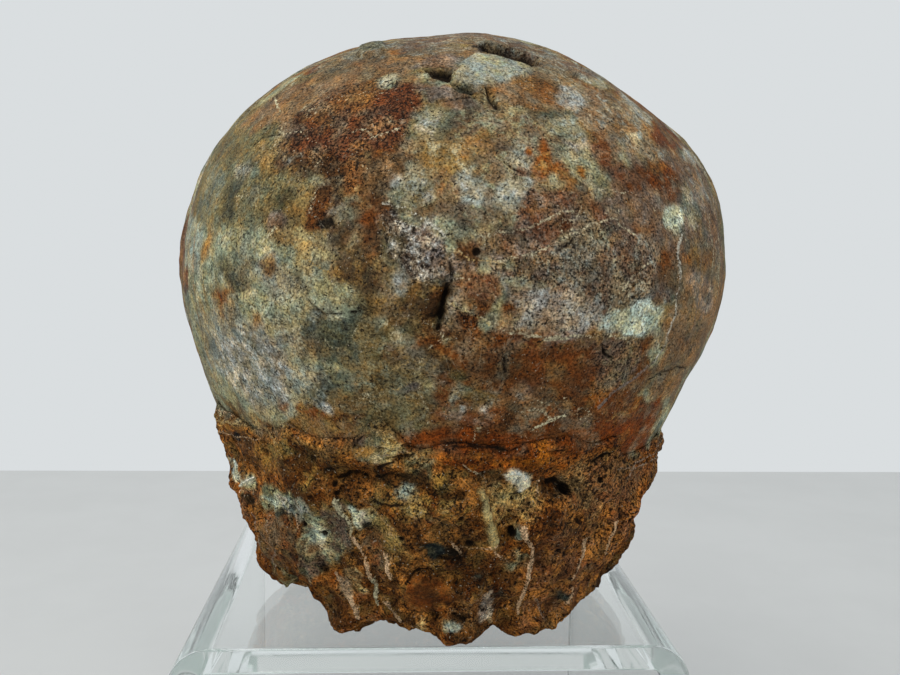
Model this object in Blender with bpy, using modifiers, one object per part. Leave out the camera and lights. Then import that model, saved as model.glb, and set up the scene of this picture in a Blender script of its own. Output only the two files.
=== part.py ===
"""A fossil dinosaur egg in its rock matrix, resting on a clear bent riser.

Three solids, in metres, with +Z up and the floor at z = 0:
  fossil_egg     a whole, slightly squashed round egg with a chipped and cracked shell
  rock_matrix    the pitted pedestal of rock under it, with a socket that fits the egg
  acrylic_stand  a sheet bent down on both sides, open at the front and the back
Places on the egg and the rock are given by azimuth and elevation or height. Azimuth 0 is
the front (-Y), 90 is the right (+X), -90 the left and 180 the back.
"""
import math

import bmesh
import bpy
import numpy as np
from mathutils import Matrix, Vector, noise

MM = 0.001
GAP = 0.3 * MM                    # left between pieces that rest on each other

# The riser.
STAND_WIDTH = 127.0 * MM
STAND_DEPTH = 127.0 * MM
STAND_HEIGHT = 76.0 * MM
SHEET = 6.35 * MM
BEND_RADIUS = 10.0 * MM           # of the bends' outer face
BEND_STEPS = 6
EDGE_ROUND = 0.5 * MM
STAND_CENTRE = (-5.3 * MM, 13.0 * MM)

# The egg.
EGG_CENTRE = Vector((0.4 * MM, -2.5 * MM, STAND_HEIGHT + 88.5 * MM))
EGG_LEAN = 0.7                    # degrees, towards +X
EGG_RADII = (                     # elevation in degrees, distance from the centre in mm
    (-90, 63.0), (-60, 68.0), (-38, 72.8), (-20, 71.6), (0, 73.7), (20, 72.4), (40, 69.2), (60, 65.9), (90, 63.4),
)
EGG_FORMS = (                     # azimuth, elevation, spread in degrees, height in mm
    (-80, 12, 15, -1.3),          # flat left temple
    (-78, -27, 12, 0.7),
    (-72, 42, 18, 0.5),
    (67, 44, 14, -1.5),           # flat right brow
    (74, 20, 11, 1.2),
    (70, -28, 11, -1.0),
    (20, 30, 22, -0.6),
    (-25, -5, 24, 0.5),
    (150, 10, 26, -1.4),
    (-140, 30, 24, -1.1),
    (115, -12, 20, 0.8),
    (-120, -15, 22, 0.9),
    (-32, 73, 11, -1.3),          # left of the crown
    (75, 58, 10, -0.8),
    (82, 30, 8, 0.7),
)
EGG_LUMP = 0.45 * MM
EGG_LUMP_SIZE = 26.0 * MM
SHELL = 0.9 * MM                  # thickness of the layer that stands proud on the left and at the back
SHELL_EDGE = -83.0                # azimuth of that layer's broken edge on the left
SHELL_BACK_EDGE = 168.0
SHELL_WAVES = (                   # how the broken edge wanders: degrees, waves round the egg
    (3.0, 7.0), (2.0, 17.0),
)
SHELL_SLOPE = 2.5                 # degrees over which the edge rises
SHELL_TOP = (44.0, 10.0)          # elevation where the layer ends, degrees over which it fades
SHELL_BOTTOM = (-20.0, 8.0)
EGG_ICOSPHERE = 4
FINE_ABOVE = -35.0                # degrees of elevation
CROWN_DETAIL = (9.0, 47.0, 11.0)  # azimuth, elevation and reach in degrees of the finest faces

# What is broken out of the shell: azimuth, elevation, length, width, depth in mm, turn in degrees.
SHELL_CUTS = (
    (17.0, 55.5, 15.0, 4.6, 2.4, -40),     # missing sliver on the crown
    (-7.4, 42.6, 6.5, 2.4, 1.8, -18),      # notch beside the flake
    (-2.0, 38.9, 8.6, 1.3, 1.2, -58),
    (5.0, 35.2, 6.0, 1.2, 1.1, -80),
    (-4.9, -5.2, 8.6, 1.4, 1.3, 80),       # upright crack in the middle of the front
    (0.6, 4.3, 2.6, 2.2, 1.6, 20),         # round pit
    (128.0, 30.0, 17.0, 1.5, 1.3, 35),
    (-150.0, 8.0, 13.0, 1.6, 1.3, -60),
    (172.0, 48.0, 9.0, 4.0, 1.8, 15),
)

# The rock matrix. Heights are above the stand's top.
MATRIX_AXIS = (EGG_CENTRE.x - 1.7 * MM, EGG_CENTRE.y)
MATRIX_SEGMENTS = 80
MATRIX_RINGS = 22
MATRIX_OUTLINE = (                # level, radius in mm, height in mm
    (0.00, 0.0, 2.6), (0.10, 17.0, 2.2), (0.19, 34.0, 1.4), (0.26, 44.6, 0.3), (0.30, 47.2, 2.4),
    (0.36, 49.6, 8.2), (0.45, 53.2, 16.0), (0.54, 56.4, 24.0), (0.63, 58.6, 32.0), (0.72, 60.2, 39.5),
    (0.81, 61.2, 47.0), (0.89, 62.2, 54.0), (0.94, 59.0, 60.0), (1.00, 0.0, 62.0),
)
RIM_LEVEL = 0.28
RIM_REACH = 0.10
WALL_START = (0.225, 0.06)        # level where the underside turns into the wall, levels over which it does
UNDERSIDE_END = (0.33, 0.05)      # level above which nothing rests on the stand
MIDDLE_FADE = 0.05                # level below which the underside is smooth
RIM_LIFT = (                      # azimuth in degrees, how far the ragged lower rim is lifted in mm
    (-180, 0.2), (-166, 3.2), (-150, 1.0), (-135, 4.2), (-118, 0.2), (-100, 4.6), (-84, 2.6), (-76, 2.4), (-66, 6.8),
    (-48, 7.2), (-37, 0.0), (-31, 0.4), (-24, 4.4), (-15, 3.4), (-6, 2.4), (0, 0.0), (8, 1.2), (15, 3.6),
    (21, 0.0), (27, 0.8), (34, 0.2), (44, 2.2), (55, 4.4), (70, 4.9), (85, 6.0), (104, 4.0), (120, 0.2),
    (135, 3.6), (150, 1.5), (165, 4.0), (180, 0.2),
)
MATRIX_LUMPS = (                  # size in mm, height in mm
    (17.0, 2.2), (7.5, 1.2),
)
MATRIX_FORMS = (                  # azimuth in degrees, height, half width, half height, relief, all in mm
    (-7.0, 14.0, 7.5, 5.5, 1.5),          # smooth oval pebble
    (-1.2, 5.0, 2.6, 2.6, 1.2),
    (-22.0, 44.0, 9.0, 1.8, -1.6),        # level crack
    (22.0, 41.5, 4.0, 2.8, -2.2),
    (11.7, 31.0, 3.0, 2.6, -1.8),
    (8.5, 36.0, 3.4, 3.0, 1.0),
    (50.0, 36.0, 6.0, 5.0, -1.8),
    (58.0, 24.0, 5.0, 5.0, -1.4),
    (36.0, 24.0, 6.0, 5.0, -1.2),
    (-69.0, 33.5, 4.5, 3.5, 1.4),
    (-60.0, 42.0, 8.0, 2.5, -1.2),
    (-48.0, 26.0, 9.0, 6.0, 0.9),
    (-84.0, 8.0, 9.0, 4.5, 3.6),          # lower left corner
    (84.0, 27.0, 9.0, 5.0, -3.6),         # notch on the right
    (84.0, 41.0, 8.0, 4.0, 1.2),
    (-34.0, 2.0, 5.0, 4.0, 2.8),          # lumps along the lower front edge
    (1.0, 2.0, 9.0, 3.0, 2.8),
    (27.0, 2.0, 4.0, 3.0, 2.4),
    (8.0, 53.0, 28.0, 9.0, 2.2),          # flaky band under the shell's edge
    (95.0, 30.0, 8.0, 7.0, -2.0),
    (130.0, 22.0, 9.0, 6.0, 1.5),
    (160.0, 38.0, 11.0, 4.0, -1.6),
    (-165.0, 20.0, 8.0, 8.0, -1.7),
    (-130.0, 34.0, 9.0, 5.0, 1.6),
    (-105.0, 18.0, 6.0, 6.0, -1.5),
)
CONTACT_LUMPS = (                 # azimuth in degrees, radius in mm, of the lumps that the rock rests on
    (0, 41), (-34, 42), (24, 42), (78, 36), (120, 40), (180, 41), (-118, 40), (-80, 36),
)
CONTACT_SIZE = 6.0 * MM


def clear_scene():
    for old in list(bpy.data.objects):
        bpy.data.objects.remove(old, do_unlink=True)


def make_collection(name):
    collection = bpy.data.collections.new(name)
    bpy.context.scene.collection.children.link(collection)
    return collection


def make_material(name, colour, roughness, transmission=0.0, ior=1.45):
    material = bpy.data.materials.new(name)
    material.use_nodes = True
    shader = material.node_tree.nodes["Principled BSDF"]
    shader.inputs["Base Color"].default_value = (*colour, 1.0)
    shader.inputs["Roughness"].default_value = roughness
    shader.inputs["Metallic"].default_value = 0.0
    shader.inputs["Transmission Weight"].default_value = transmission
    shader.inputs["IOR"].default_value = ior
    material.diffuse_color = (*colour, 1.0)
    return material


def make_object(name, mesh, collection, material=None):
    thing = bpy.data.objects.new(name, mesh)
    collection.objects.link(thing)
    if material:
        mesh.materials.append(material)
    return thing


def mark_as_cutter(thing):
    thing.hide_render = True
    thing.display_type = "WIRE"


def read_curve(places, values, at):
    """A smooth curve through the points (places, values), read at each number in at."""
    places = np.asarray(places, dtype=float)
    values = np.asarray(values, dtype=float)
    slopes = np.gradient(values, places)
    left = np.clip(np.searchsorted(places, at) - 1, 0, len(places) - 2)
    step = places[left + 1] - places[left]
    t = (at - places[left]) / step
    start = (2 * t ** 3 - 3 * t ** 2 + 1) * values[left] + (t ** 3 - 2 * t ** 2 + t) * step * slopes[left]
    end = (3 * t ** 2 - 2 * t ** 3) * values[left + 1] + (t ** 3 - t ** 2) * step * slopes[left + 1]
    return start + end


def lumps(points, size, octaves, seed):
    """Seeded noise at each point, about -1 to 1, with lumps of the given size."""
    shift = Vector((17.1, 3.7, 9.3)) * seed
    return np.array([noise.fractal(Vector(p) / size + shift, 1.0, 2.0, octaves) for p in points])


def direction(azimuth, elevation):
    """The unit vector that points to an azimuth and an elevation in degrees."""
    around = math.radians(azimuth)
    up = math.radians(elevation)
    return Vector((math.sin(around) * math.cos(up), -math.cos(around) * math.cos(up), math.sin(up)))


def degrees_apart(first, second):
    """The difference of two azimuths, from -180 to 180."""
    return (first - second + 180.0) % 360.0 - 180.0


def egg_surface(directions, offset=0.0):
    """Points on the egg's surface in the given unit directions from its centre."""
    azimuth = np.degrees(np.arctan2(directions[:, 0], -directions[:, 1]))
    elevation = np.degrees(np.arcsin(np.clip(directions[:, 2], -1.0, 1.0)))
    radius = read_curve(*zip(*EGG_RADII), elevation) * MM
    for place, height, spread, rise in EGG_FORMS:
        towards = np.array(direction(place, height))
        angle = np.degrees(np.arccos(np.clip(directions @ towards, -1.0, 1.0)))
        radius += rise * MM * np.exp(-(angle / spread) ** 2)
    radius += EGG_LUMP * lumps(directions * radius[:, None], EGG_LUMP_SIZE, 2, seed=1)
    radius += SHELL * proud_shell(azimuth, elevation)
    points = directions * (radius + offset)[:, None]
    points[:, 0] += points[:, 2] * math.tan(math.radians(EGG_LEAN))
    return points + np.array(EGG_CENTRE)


def proud_shell(azimuth, elevation):
    """1 where the thicker layer of shell lies, from its edge on the left round to the back."""
    ragged = sum(size * np.sin(np.radians(elevation * waves)) for size, waves in SHELL_WAVES)
    inside = degrees_apart(SHELL_EDGE + ragged, azimuth)
    back = degrees_apart(azimuth, SHELL_BACK_EDGE + ragged)
    from_edge = np.where(azimuth < 0, inside, back)
    side = np.clip(from_edge / SHELL_SLOPE + 0.5, 0.0, 1.0)
    top = np.clip((SHELL_TOP[0] - elevation) / SHELL_TOP[1], 0.0, 1.0)
    bottom = np.clip((elevation - SHELL_BOTTOM[0]) / SHELL_BOTTOM[1], 0.0, 1.0)
    return side * top * bottom


def edges_where(sphere, test):
    return [edge for edge in sphere.edges if test((edge.verts[0].co + edge.verts[1].co).normalized())]


def egg_mesh(name, offset=0.0):
    """An icosphere, finer above the rock and finest round the crown's chips, moved onto the egg's surface."""
    sphere = bmesh.new()
    bmesh.ops.create_icosphere(sphere, subdivisions=EGG_ICOSPHERE, radius=1.0)
    lowest = math.sin(math.radians(FINE_ABOVE))
    upper = edges_where(sphere, lambda middle: middle.z > lowest)
    bmesh.ops.subdivide_edges(sphere, edges=upper, cuts=1, use_grid_fill=True)
    crown = direction(CROWN_DETAIL[0], CROWN_DETAIL[1])
    reach = math.radians(CROWN_DETAIL[2])
    near_crown = edges_where(sphere, lambda middle: middle.angle(crown) < reach)
    bmesh.ops.subdivide_edges(sphere, edges=near_crown, cuts=1, use_grid_fill=True)
    bmesh.ops.triangulate(sphere, faces=sphere.faces[:])
    directions = np.array([vertex.co.normalized() for vertex in sphere.verts])
    for vertex, point in zip(sphere.verts, egg_surface(directions, offset)):
        vertex.co = point
    mesh = bpy.data.meshes.new(name)
    sphere.to_mesh(mesh)
    sphere.free()
    return mesh


CHIP_TAPER = 0.2                  # how much narrower a chip's floor is than its mouth
CHIP_PINCH = 1.1                  # how far its ends close in
CHIP_RAGGED = (0.084, 0.042)      # noise in its width and its length
CHIP_NOISE = 3.1


def chip_cutter(index, cut, collection):
    """A ragged wedge that takes one chip or crack out of the shell."""
    azimuth, elevation, length, width, depth, turn = cut
    outward = direction(azimuth, elevation)
    east = Vector((math.cos(math.radians(azimuth)), math.sin(math.radians(azimuth)), 0.0))
    north = outward.cross(east)
    along = Matrix.Rotation(math.radians(turn), 3, outward) @ east
    across = outward.cross(along)
    surface = Vector(egg_surface(np.array([outward]))[0])
    wedge = bmesh.new()
    bmesh.ops.create_cube(wedge, size=1.0)
    bmesh.ops.subdivide_edges(wedge, edges=wedge.edges[:], cuts=2, use_grid_fill=True)
    for vertex in wedge.verts:
        local = vertex.co.copy()
        taper = 1.0 - CHIP_TAPER * (0.5 - local.z)
        pinch = 1.0 - CHIP_PINCH * local.x ** 2
        ragged = noise.noise(local * CHIP_NOISE + Vector((index * 5.3, 0.0, 0.0)))
        sideways = (local.y * taper * pinch + ragged * CHIP_RAGGED[0]) * width * MM
        lengthways = (local.x * taper + ragged * CHIP_RAGGED[1]) * length * MM
        up = local.z * 2.0 * depth * MM
        vertex.co = surface + along * lengthways + across * sideways + outward * up
    mesh = bpy.data.meshes.new("chip_%d" % index)
    wedge.to_mesh(mesh)
    wedge.free()
    cutter = make_object("chip_%d" % index, mesh, collection)
    mark_as_cutter(cutter)
    return cutter


def cut_out(thing, cutter):
    boolean = thing.modifiers.new("cut_" + cutter.name, "BOOLEAN")
    boolean.operation = "DIFFERENCE"
    boolean.solver = "EXACT"
    boolean.object = cutter


def build_egg(collection, cutters):
    shell = make_material("eggshell", (0.36, 0.31, 0.26), 0.72)
    mesh = egg_mesh("fossil_egg")
    egg = make_object("fossil_egg", mesh, collection, shell)
    for index, cut in enumerate(SHELL_CUTS):
        cut_out(egg, chip_cutter(index, cut, cutters))
    mesh.shade_smooth()
    mesh.set_sharp_from_angle(angle=math.radians(35))
    return egg


def rock_relief(azimuth, height, points):
    """How far the rock's wall stands out of its plain outline, in metres."""
    relief = np.zeros(len(azimuth))
    for seed, (size, rise) in enumerate(MATRIX_LUMPS, start=5):
        relief += rise * MM * lumps(points, size * MM, 2, seed)
    for place, level, half_width, half_height, rise in MATRIX_FORMS:
        around = np.radians(degrees_apart(azimuth, place)) * np.hypot(points[:, 0], points[:, 1])
        upward = height - level * MM
        nearness = (around / (half_width * MM)) ** 2 + (upward / (half_height * MM)) ** 2
        relief += rise * MM * np.exp(-nearness)
    return relief


def rock_surface(azimuth, level):
    """Points on the rock's plain outline, roughened, from the underside (level 0) up to level 1."""
    levels, radii, heights = zip(*MATRIX_OUTLINE)
    radius = read_curve(levels, radii, level) * MM
    height = read_curve(levels, heights, level) * MM
    rim = np.exp(-((level - RIM_LEVEL) / RIM_REACH) ** 2)
    height = height + rim * read_curve(*zip(*RIM_LIFT), azimuth) * MM
    sine = np.sin(np.radians(azimuth))
    cosine = np.cos(np.radians(azimuth))
    plain = np.stack([radius * sine, -radius * cosine, height], axis=1)
    relief = rock_relief(azimuth, height, plain)
    wall = np.clip((level - WALL_START[0]) / WALL_START[1], 0.0, 1.0)
    radius = radius + relief * wall
    height = height + relief * (1.0 - wall) * np.clip(level / MIDDLE_FADE, 0.0, 1.0)
    x = radius * sine
    y = -radius * cosine
    for place, distance in CONTACT_LUMPS:
        centre = direction(place, 0.0) * distance * MM
        away = np.hypot(x - centre.x, y - centre.y) / CONTACT_SIZE
        underside = np.clip((UNDERSIDE_END[0] - level) / UNDERSIDE_END[1], 0.0, 1.0)
        height = height - height * underside * np.exp(-away ** 2)
    height = np.maximum(height, 0.0) + GAP
    return np.stack([MATRIX_AXIS[0] + x, MATRIX_AXIS[1] + y, STAND_HEIGHT + height], axis=1)


def build_matrix(collection, cutters):
    """A sphere's rings moved onto the rock's surface, with the egg's socket cut into the top."""
    rock = make_material("rock_matrix", (0.17, 0.085, 0.045), 0.9)
    ball = bmesh.new()
    bmesh.ops.create_uvsphere(ball, u_segments=MATRIX_SEGMENTS, v_segments=MATRIX_RINGS, radius=1.0)
    places = np.array([vertex.co for vertex in ball.verts])
    azimuth = np.degrees(np.arctan2(places[:, 0], -places[:, 1]))
    level = np.arccos(np.clip(-places[:, 2], -1.0, 1.0)) / math.pi
    for vertex, point in zip(ball.verts, rock_surface(azimuth, level)):
        vertex.co = point
    bmesh.ops.triangulate(ball, faces=ball.faces[:])
    mesh = bpy.data.meshes.new("rock_matrix")
    ball.to_mesh(mesh)
    ball.free()
    matrix = make_object("rock_matrix", mesh, collection, rock)
    socket = make_object("egg_socket", egg_mesh("egg_socket", GAP), cutters)
    mark_as_cutter(socket)
    cut_out(matrix, socket)
    mesh.shade_smooth()
    mesh.set_sharp_from_angle(angle=math.radians(40))
    return matrix


def riser_path():
    """The outer face of the bent sheet, seen from the front: up the left leg, over and down the right one."""
    half = STAND_WIDTH / 2.0
    points = [(-half, 0.0)]
    for side, first, last in ((-1, 180.0, 90.0), (1, 90.0, 0.0)):
        for step in range(BEND_STEPS + 1):
            angle = math.radians(first + (last - first) * step / BEND_STEPS)
            x = side * (half - BEND_RADIUS) + BEND_RADIUS * math.cos(angle)
            z = STAND_HEIGHT - BEND_RADIUS + BEND_RADIUS * math.sin(angle)
            points.append((x, z))
    points.append((half, 0.0))
    return points


def build_stand(collection):
    acrylic = make_material("clear_acrylic", (0.95, 0.97, 0.96), 0.03, transmission=1.0, ior=1.49)
    sheet = bmesh.new()
    centre_x, centre_y = STAND_CENTRE
    front = centre_y - STAND_DEPTH / 2.0
    path = [sheet.verts.new((centre_x + x, front, z)) for x, z in riser_path()]
    edges = [sheet.edges.new(pair) for pair in zip(path, path[1:])]
    swept = bmesh.ops.extrude_edge_only(sheet, edges=edges)["geom"]
    for vertex in swept:
        if isinstance(vertex, bmesh.types.BMVert):
            vertex.co.y += STAND_DEPTH
    bmesh.ops.recalc_face_normals(sheet, faces=sheet.faces[:])
    mesh = bpy.data.meshes.new("acrylic_stand")
    sheet.to_mesh(mesh)
    sheet.free()
    stand = make_object("acrylic_stand", mesh, collection, acrylic)
    thickness = stand.modifiers.new("sheet", "SOLIDIFY")
    thickness.thickness = SHEET
    thickness.offset = -1.0
    thickness.use_even_offset = True
    rounding = stand.modifiers.new("polished_edges", "BEVEL")
    rounding.width = EDGE_ROUND
    rounding.segments = 1
    rounding.limit_method = "ANGLE"
    rounding.angle_limit = math.radians(60)
    mesh.shade_smooth()
    mesh.set_sharp_from_angle(angle=math.radians(30))
    return stand


def main():
    clear_scene()
    parts = make_collection("fossil_dinosaur_egg")
    cutters = make_collection("cutters")
    build_egg(parts, cutters)
    build_matrix(parts, cutters)
    build_stand(parts)


main()
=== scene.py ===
"""Looks of a fossil dinosaur egg in its rock, standing on a clear bent riser.

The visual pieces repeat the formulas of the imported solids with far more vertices, and then add what is
too fine for the solids: chips, cracks, veins, pits and grains. Only the three cuts in the back of the
egg's solid aren't repeated. Colours are painted on the vertices as named patches, and the materials
break them up into mineral grains.
Pixel positions are those of a 900 x 675 view through the scene's own camera. Everything else is in mm
unless it says otherwise.
"""
import math

import bmesh
import bpy
import numpy as np
from mathutils import Matrix, Vector, noise
from mathutils.bvhtree import BVHTree
from mathutils.kdtree import KDTree


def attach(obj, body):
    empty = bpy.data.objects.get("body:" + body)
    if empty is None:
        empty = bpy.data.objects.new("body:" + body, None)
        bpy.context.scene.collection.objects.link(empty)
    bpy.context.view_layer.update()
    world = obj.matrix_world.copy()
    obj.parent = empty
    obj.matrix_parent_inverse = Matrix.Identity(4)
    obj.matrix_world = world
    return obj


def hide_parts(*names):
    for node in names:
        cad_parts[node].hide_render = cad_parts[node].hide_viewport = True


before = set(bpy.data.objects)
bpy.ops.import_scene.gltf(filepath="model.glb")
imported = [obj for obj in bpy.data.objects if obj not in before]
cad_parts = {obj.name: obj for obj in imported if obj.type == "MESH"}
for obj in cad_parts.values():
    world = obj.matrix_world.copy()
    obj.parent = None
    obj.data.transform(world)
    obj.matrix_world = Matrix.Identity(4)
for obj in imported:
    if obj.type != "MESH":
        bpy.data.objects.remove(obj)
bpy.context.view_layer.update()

MM = 0.001

# The camera, in mm and degrees.
CAMERA_PLACE = (-15.04, -272.9, 176.0)
CAMERA_YAW = -3.27
CAMERA_PITCH = 6.34
CAMERA_ROLL = 0.91
FOCAL_PIXELS = 964.0
VIEW_MIDDLE = (450.0, 337.5)
SENSOR = 36.0

# The riser.
STAND_SIZE = (127.0, 127.0, 76.0)
STAND_CENTRE = (-5.3, 13.0)
SHEET = 6.35
BEND_RADIUS = 10.0
BEND_STEPS = 24
EDGE_ROUND = 0.55
EDGE_STEPS = 3
SHARP_ANGLE = 60.0                     # edges that turn by more than this are rounded
FLAT_FACE = 300.0                      # faces larger than this, in square mm, are shaded flat

# The egg's solid form, as in the part's source apart from the cuts in its back.
EGG_CENTRE = np.array((0.4, -2.5, STAND_SIZE[2] + 88.5))
EGG_LEAN = 0.7                         # degrees, towards +X
EGG_RADII = (                          # elevation in degrees, distance from the centre
    (-90, 63.0), (-60, 68.0), (-38, 72.8), (-20, 71.6), (0, 73.7), (20, 72.4), (40, 69.2), (60, 65.9),
    (90, 63.4),
)
EGG_FORMS = (                          # azimuth, elevation, spread in degrees, height
    (-80, 12, 15, -1.3), (-78, -27, 12, 0.7), (-72, 42, 18, 0.5), (67, 44, 14, -1.5), (74, 20, 11, 1.2),
    (70, -28, 11, -1.0), (20, 30, 22, -0.6), (-25, -5, 24, 0.5), (150, 10, 26, -1.4), (-140, 30, 24, -1.1),
    (115, -12, 20, 0.8), (-120, -15, 22, 0.9), (-32, 73, 11, -1.3), (75, 58, 10, -0.8), (82, 30, 8, 0.7),
)
EGG_LUMP = 0.45
EGG_LUMP_SIZE = 26.0
LUMP_OCTAVES = 2
SHELL = 0.9                            # thickness of the layer that stands proud on the left and at the back
SHELL_EDGE = -83.0                     # azimuth of that layer's broken edge on the left
SHELL_BACK_EDGE = 168.0
SHELL_WAVES = ((3.0, 7.0), (2.0, 17.0))     # how the edge wanders: degrees, waves round the egg
SHELL_SLOPE = 2.5                      # degrees over which the edge rises
SHELL_TOP = (44.0, 10.0)               # elevation where the layer ends, degrees over which it fades
SHELL_BOTTOM = (-20.0, 8.0)

# The rock's solid form, as in the part's source.
MATRIX_AXIS = (EGG_CENTRE[0] - 1.7, EGG_CENTRE[1])
MATRIX_OUTLINE = (                     # level, radius, height above the riser
    (0.00, 0.0, 2.6), (0.10, 17.0, 2.2), (0.19, 34.0, 1.4), (0.26, 44.6, 0.3), (0.30, 47.2, 2.4),
    (0.36, 49.6, 8.2), (0.45, 53.2, 16.0), (0.54, 56.4, 24.0), (0.63, 58.6, 32.0), (0.72, 60.2, 39.5),
    (0.81, 61.2, 47.0), (0.89, 62.2, 54.0), (0.94, 59.0, 60.0), (1.00, 0.0, 62.0),
)
WALL_START = (0.225, 0.06)             # level where the underside turns into the wall, and over which it does
UNDERSIDE_END = (0.33, 0.05)           # level above which nothing rests on the riser
MIDDLE_FADE = 0.05                     # level below which the underside is smooth
RIM_LEVEL = 0.28                       # level of the wall's lower edge
RIM_REACH = 0.10
RIM_LIFT = (                           # azimuth in degrees, how far the lower edge is lifted
    (-180, 0.2), (-166, 3.2), (-150, 1.0), (-135, 4.2), (-118, 0.2), (-100, 4.6), (-84, 2.6), (-76, 2.4),
    (-66, 6.8), (-48, 7.2), (-37, 0.0), (-31, 0.4), (-24, 4.4), (-15, 3.4), (-6, 2.4), (0, 0.0), (8, 1.2),
    (15, 3.6), (21, 0.0), (27, 0.8), (34, 0.2), (44, 2.2), (55, 4.4), (70, 4.9), (85, 6.0), (104, 4.0),
    (120, 0.2), (135, 3.6), (150, 1.5), (165, 4.0), (180, 0.2),
)
MATRIX_LUMPS = ((17.0, 2.2), (7.5, 1.2))    # size, height
FIRST_LUMP_SEED = 5
MATRIX_FORMS = (                       # azimuth in degrees, height, half width, half height, rise
    (-7.0, 14.0, 7.5, 5.5, 1.5), (-1.2, 5.0, 2.6, 2.6, 1.2), (-22.0, 44.0, 9.0, 1.8, -1.6),
    (22.0, 41.5, 4.0, 2.8, -2.2), (11.7, 31.0, 3.0, 2.6, -1.8), (8.5, 36.0, 3.4, 3.0, 1.0),
    (50.0, 36.0, 6.0, 5.0, -1.8), (58.0, 24.0, 5.0, 5.0, -1.4), (36.0, 24.0, 6.0, 5.0, -1.2),
    (-69.0, 33.5, 4.5, 3.5, 1.4), (-60.0, 42.0, 8.0, 2.5, -1.2), (-48.0, 26.0, 9.0, 6.0, 0.9),
    (-84.0, 8.0, 9.0, 4.5, 3.6), (84.0, 27.0, 9.0, 5.0, -3.6), (84.0, 41.0, 8.0, 4.0, 1.2),
    (-34.0, 2.0, 5.0, 4.0, 2.8), (1.0, 2.0, 9.0, 3.0, 2.8), (27.0, 2.0, 4.0, 3.0, 2.4),
    (8.0, 53.0, 28.0, 9.0, 2.2), (95.0, 30.0, 8.0, 7.0, -2.0), (130.0, 22.0, 9.0, 6.0, 1.5),
    (160.0, 38.0, 11.0, 4.0, -1.6), (-165.0, 20.0, 8.0, 8.0, -1.7), (-130.0, 34.0, 9.0, 5.0, 1.6),
    (-105.0, 18.0, 6.0, 6.0, -1.5),
)
# Finer hollows and lumps than the solid has, in the same terms.
FINE_FORMS = (
    (-38.0, 3.5, 5.0, 5.0, -2.6), (-46.0, 8.5, 4.0, 4.0, 1.5), (-74.0, 14.0, 7.0, 7.0, -1.8),
    (-3.0, 3.0, 3.0, 3.0, -1.6), (-10.0, 3.0, 4.0, 3.0, 1.6), (3.0, 2.0, 3.0, 3.0, 1.0),
    (35.0, 2.5, 4.0, 3.0, 1.4), (66.0, 28.0, 8.0, 6.0, -2.0), (64.0, 20.0, 7.0, 4.0, 1.4),
    (-86.0, 46.0, 10.0, 8.0, -1.5),
)
# The lumps that the rock rests on: azimuth in degrees, distance from its axis.
CONTACT_LUMPS = ((0, 41), (-34, 42), (24, 42), (78, 36), (120, 40), (180, 41), (-118, 40), (-80, 36))
CONTACT_SIZE = 6.0
GAP = 0.3                              # left between pieces that rest on each other

# The charts: how a pixel finds its place on the egg and on the rock.
NEAR_SIDE = 8.0                        # a pixel's ray lands on the near side, in front of this y
EGG_CHART_RADIUS = 70.0
EGG_MIDDLE_PIXEL = (452, 250)
ROCK_CHART_RADIUS = 57.0
ROCK_MIDDLE_PIXEL = (445, 500)
INWARD_SHARE = 0.6                     # how far a pixel outside the outline may move towards the middle
INWARD_STEPS = 61
OVAL_POINTS = 12

# What a surface has before anything is painted on it.
PLAIN_SHARE = 0.25
PLAIN_PORES = 0.2
PLAIN_SPECKS = 0.05
NO_LINE = -2.0
EDGE_SPAN = 4.0                        # mm from the lowest to the highest stored distance to a line's edge

# Noises that make outlines uneven: lump size, seed, octaves.
RAGGED_NOISE = (5.0, 11, 4)
FRAYED_NOISE = (1.6, 15, 2)
FRAYED_SHARE = 0.35
WANDER_NOISES = ((3.0, 21, 2), (3.0, 31, 2))
WANDER = 0.4
SWIRL_NOISES = ((11.0, 23, 3), (11.0, 33, 3))
SWIRL = 2.6

# The shapes of painted features. Slopes say over how many mm an edge rises, and how far up it is at the edge.
PATCH_SPREAD = 1.5                     # softness of a patch's edge, over the softness in its row
PATCH_RAGGED = (0.5, 0.9)              # its raggedness: the least, and how it grows with softness
PATCH_SWIRL = 1.0                      # the most that the swirl may carry it
FORM_RAGGED = 0.35
LINE_MARGIN = 3.0
VEIN_RAGGED = 0.25
VEIN_SLOPE = (0.6, 0.8)
CRACK_RAGGED = 0.2
CRACK_SLOPE = (0.7, 0.75)
PIT_RIM = 0.25                         # share of a pit's radius that isn't painted dark as shade
PIT_SLOPE = (0.8, 0.6)                 # share of its radius over which it deepens, and the least

# Mineral colours as they look on screen, 0 to 255, and one near-black for painted shade.
CHALK = (164, 160, 148)
BONE = (188, 184, 172)
CREAM = (160, 152, 128)
PALE = (166, 160, 134)
MINT = (172, 178, 156)
MINT_PALE = (196, 200, 184)
ASH = (146, 146, 132)
GREY = (144, 144, 116)
STONE = (124, 124, 104)
BLUE_GREY = (112, 114, 94)
SLATE = (72, 74, 64)
OLIVE = (116, 110, 82)
MOSS = (82, 78, 54)
TAN = (114, 98, 66)
SAND = (150, 130, 92)
STRAW = (172, 154, 108)
OCHRE = (134, 112, 70)
HONEY = (160, 128, 78)
ORANGE = (138, 94, 42)
COPPER = (116, 70, 32)
RUST = (100, 62, 32)
BROWN = (88, 60, 34)
UMBER = (88, 70, 48)
PEAT = (62, 46, 30)
DOME = (118, 102, 80)
CLAY = (130, 106, 78)
BRICK = (104, 66, 42)
BRICK_DARK = (66, 38, 24)
RED_BROWN = (112, 78, 56)
MAUVE = (110, 92, 76)
ROSE = (138, 122, 106)
LILAC = (112, 102, 94)
PURPLE = (76, 64, 54)
EARTH = (108, 68, 34)
EARTH_LIGHT = (146, 108, 66)
EARTH_DARK = (60, 36, 18)
FLAKY = (114, 64, 28)
OXBLOOD = (80, 48, 30)
# Near-black painted shade for hollows and pits, also used for dark flecks.
HOLLOW_SHADE = (36, 30, 22)
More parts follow.
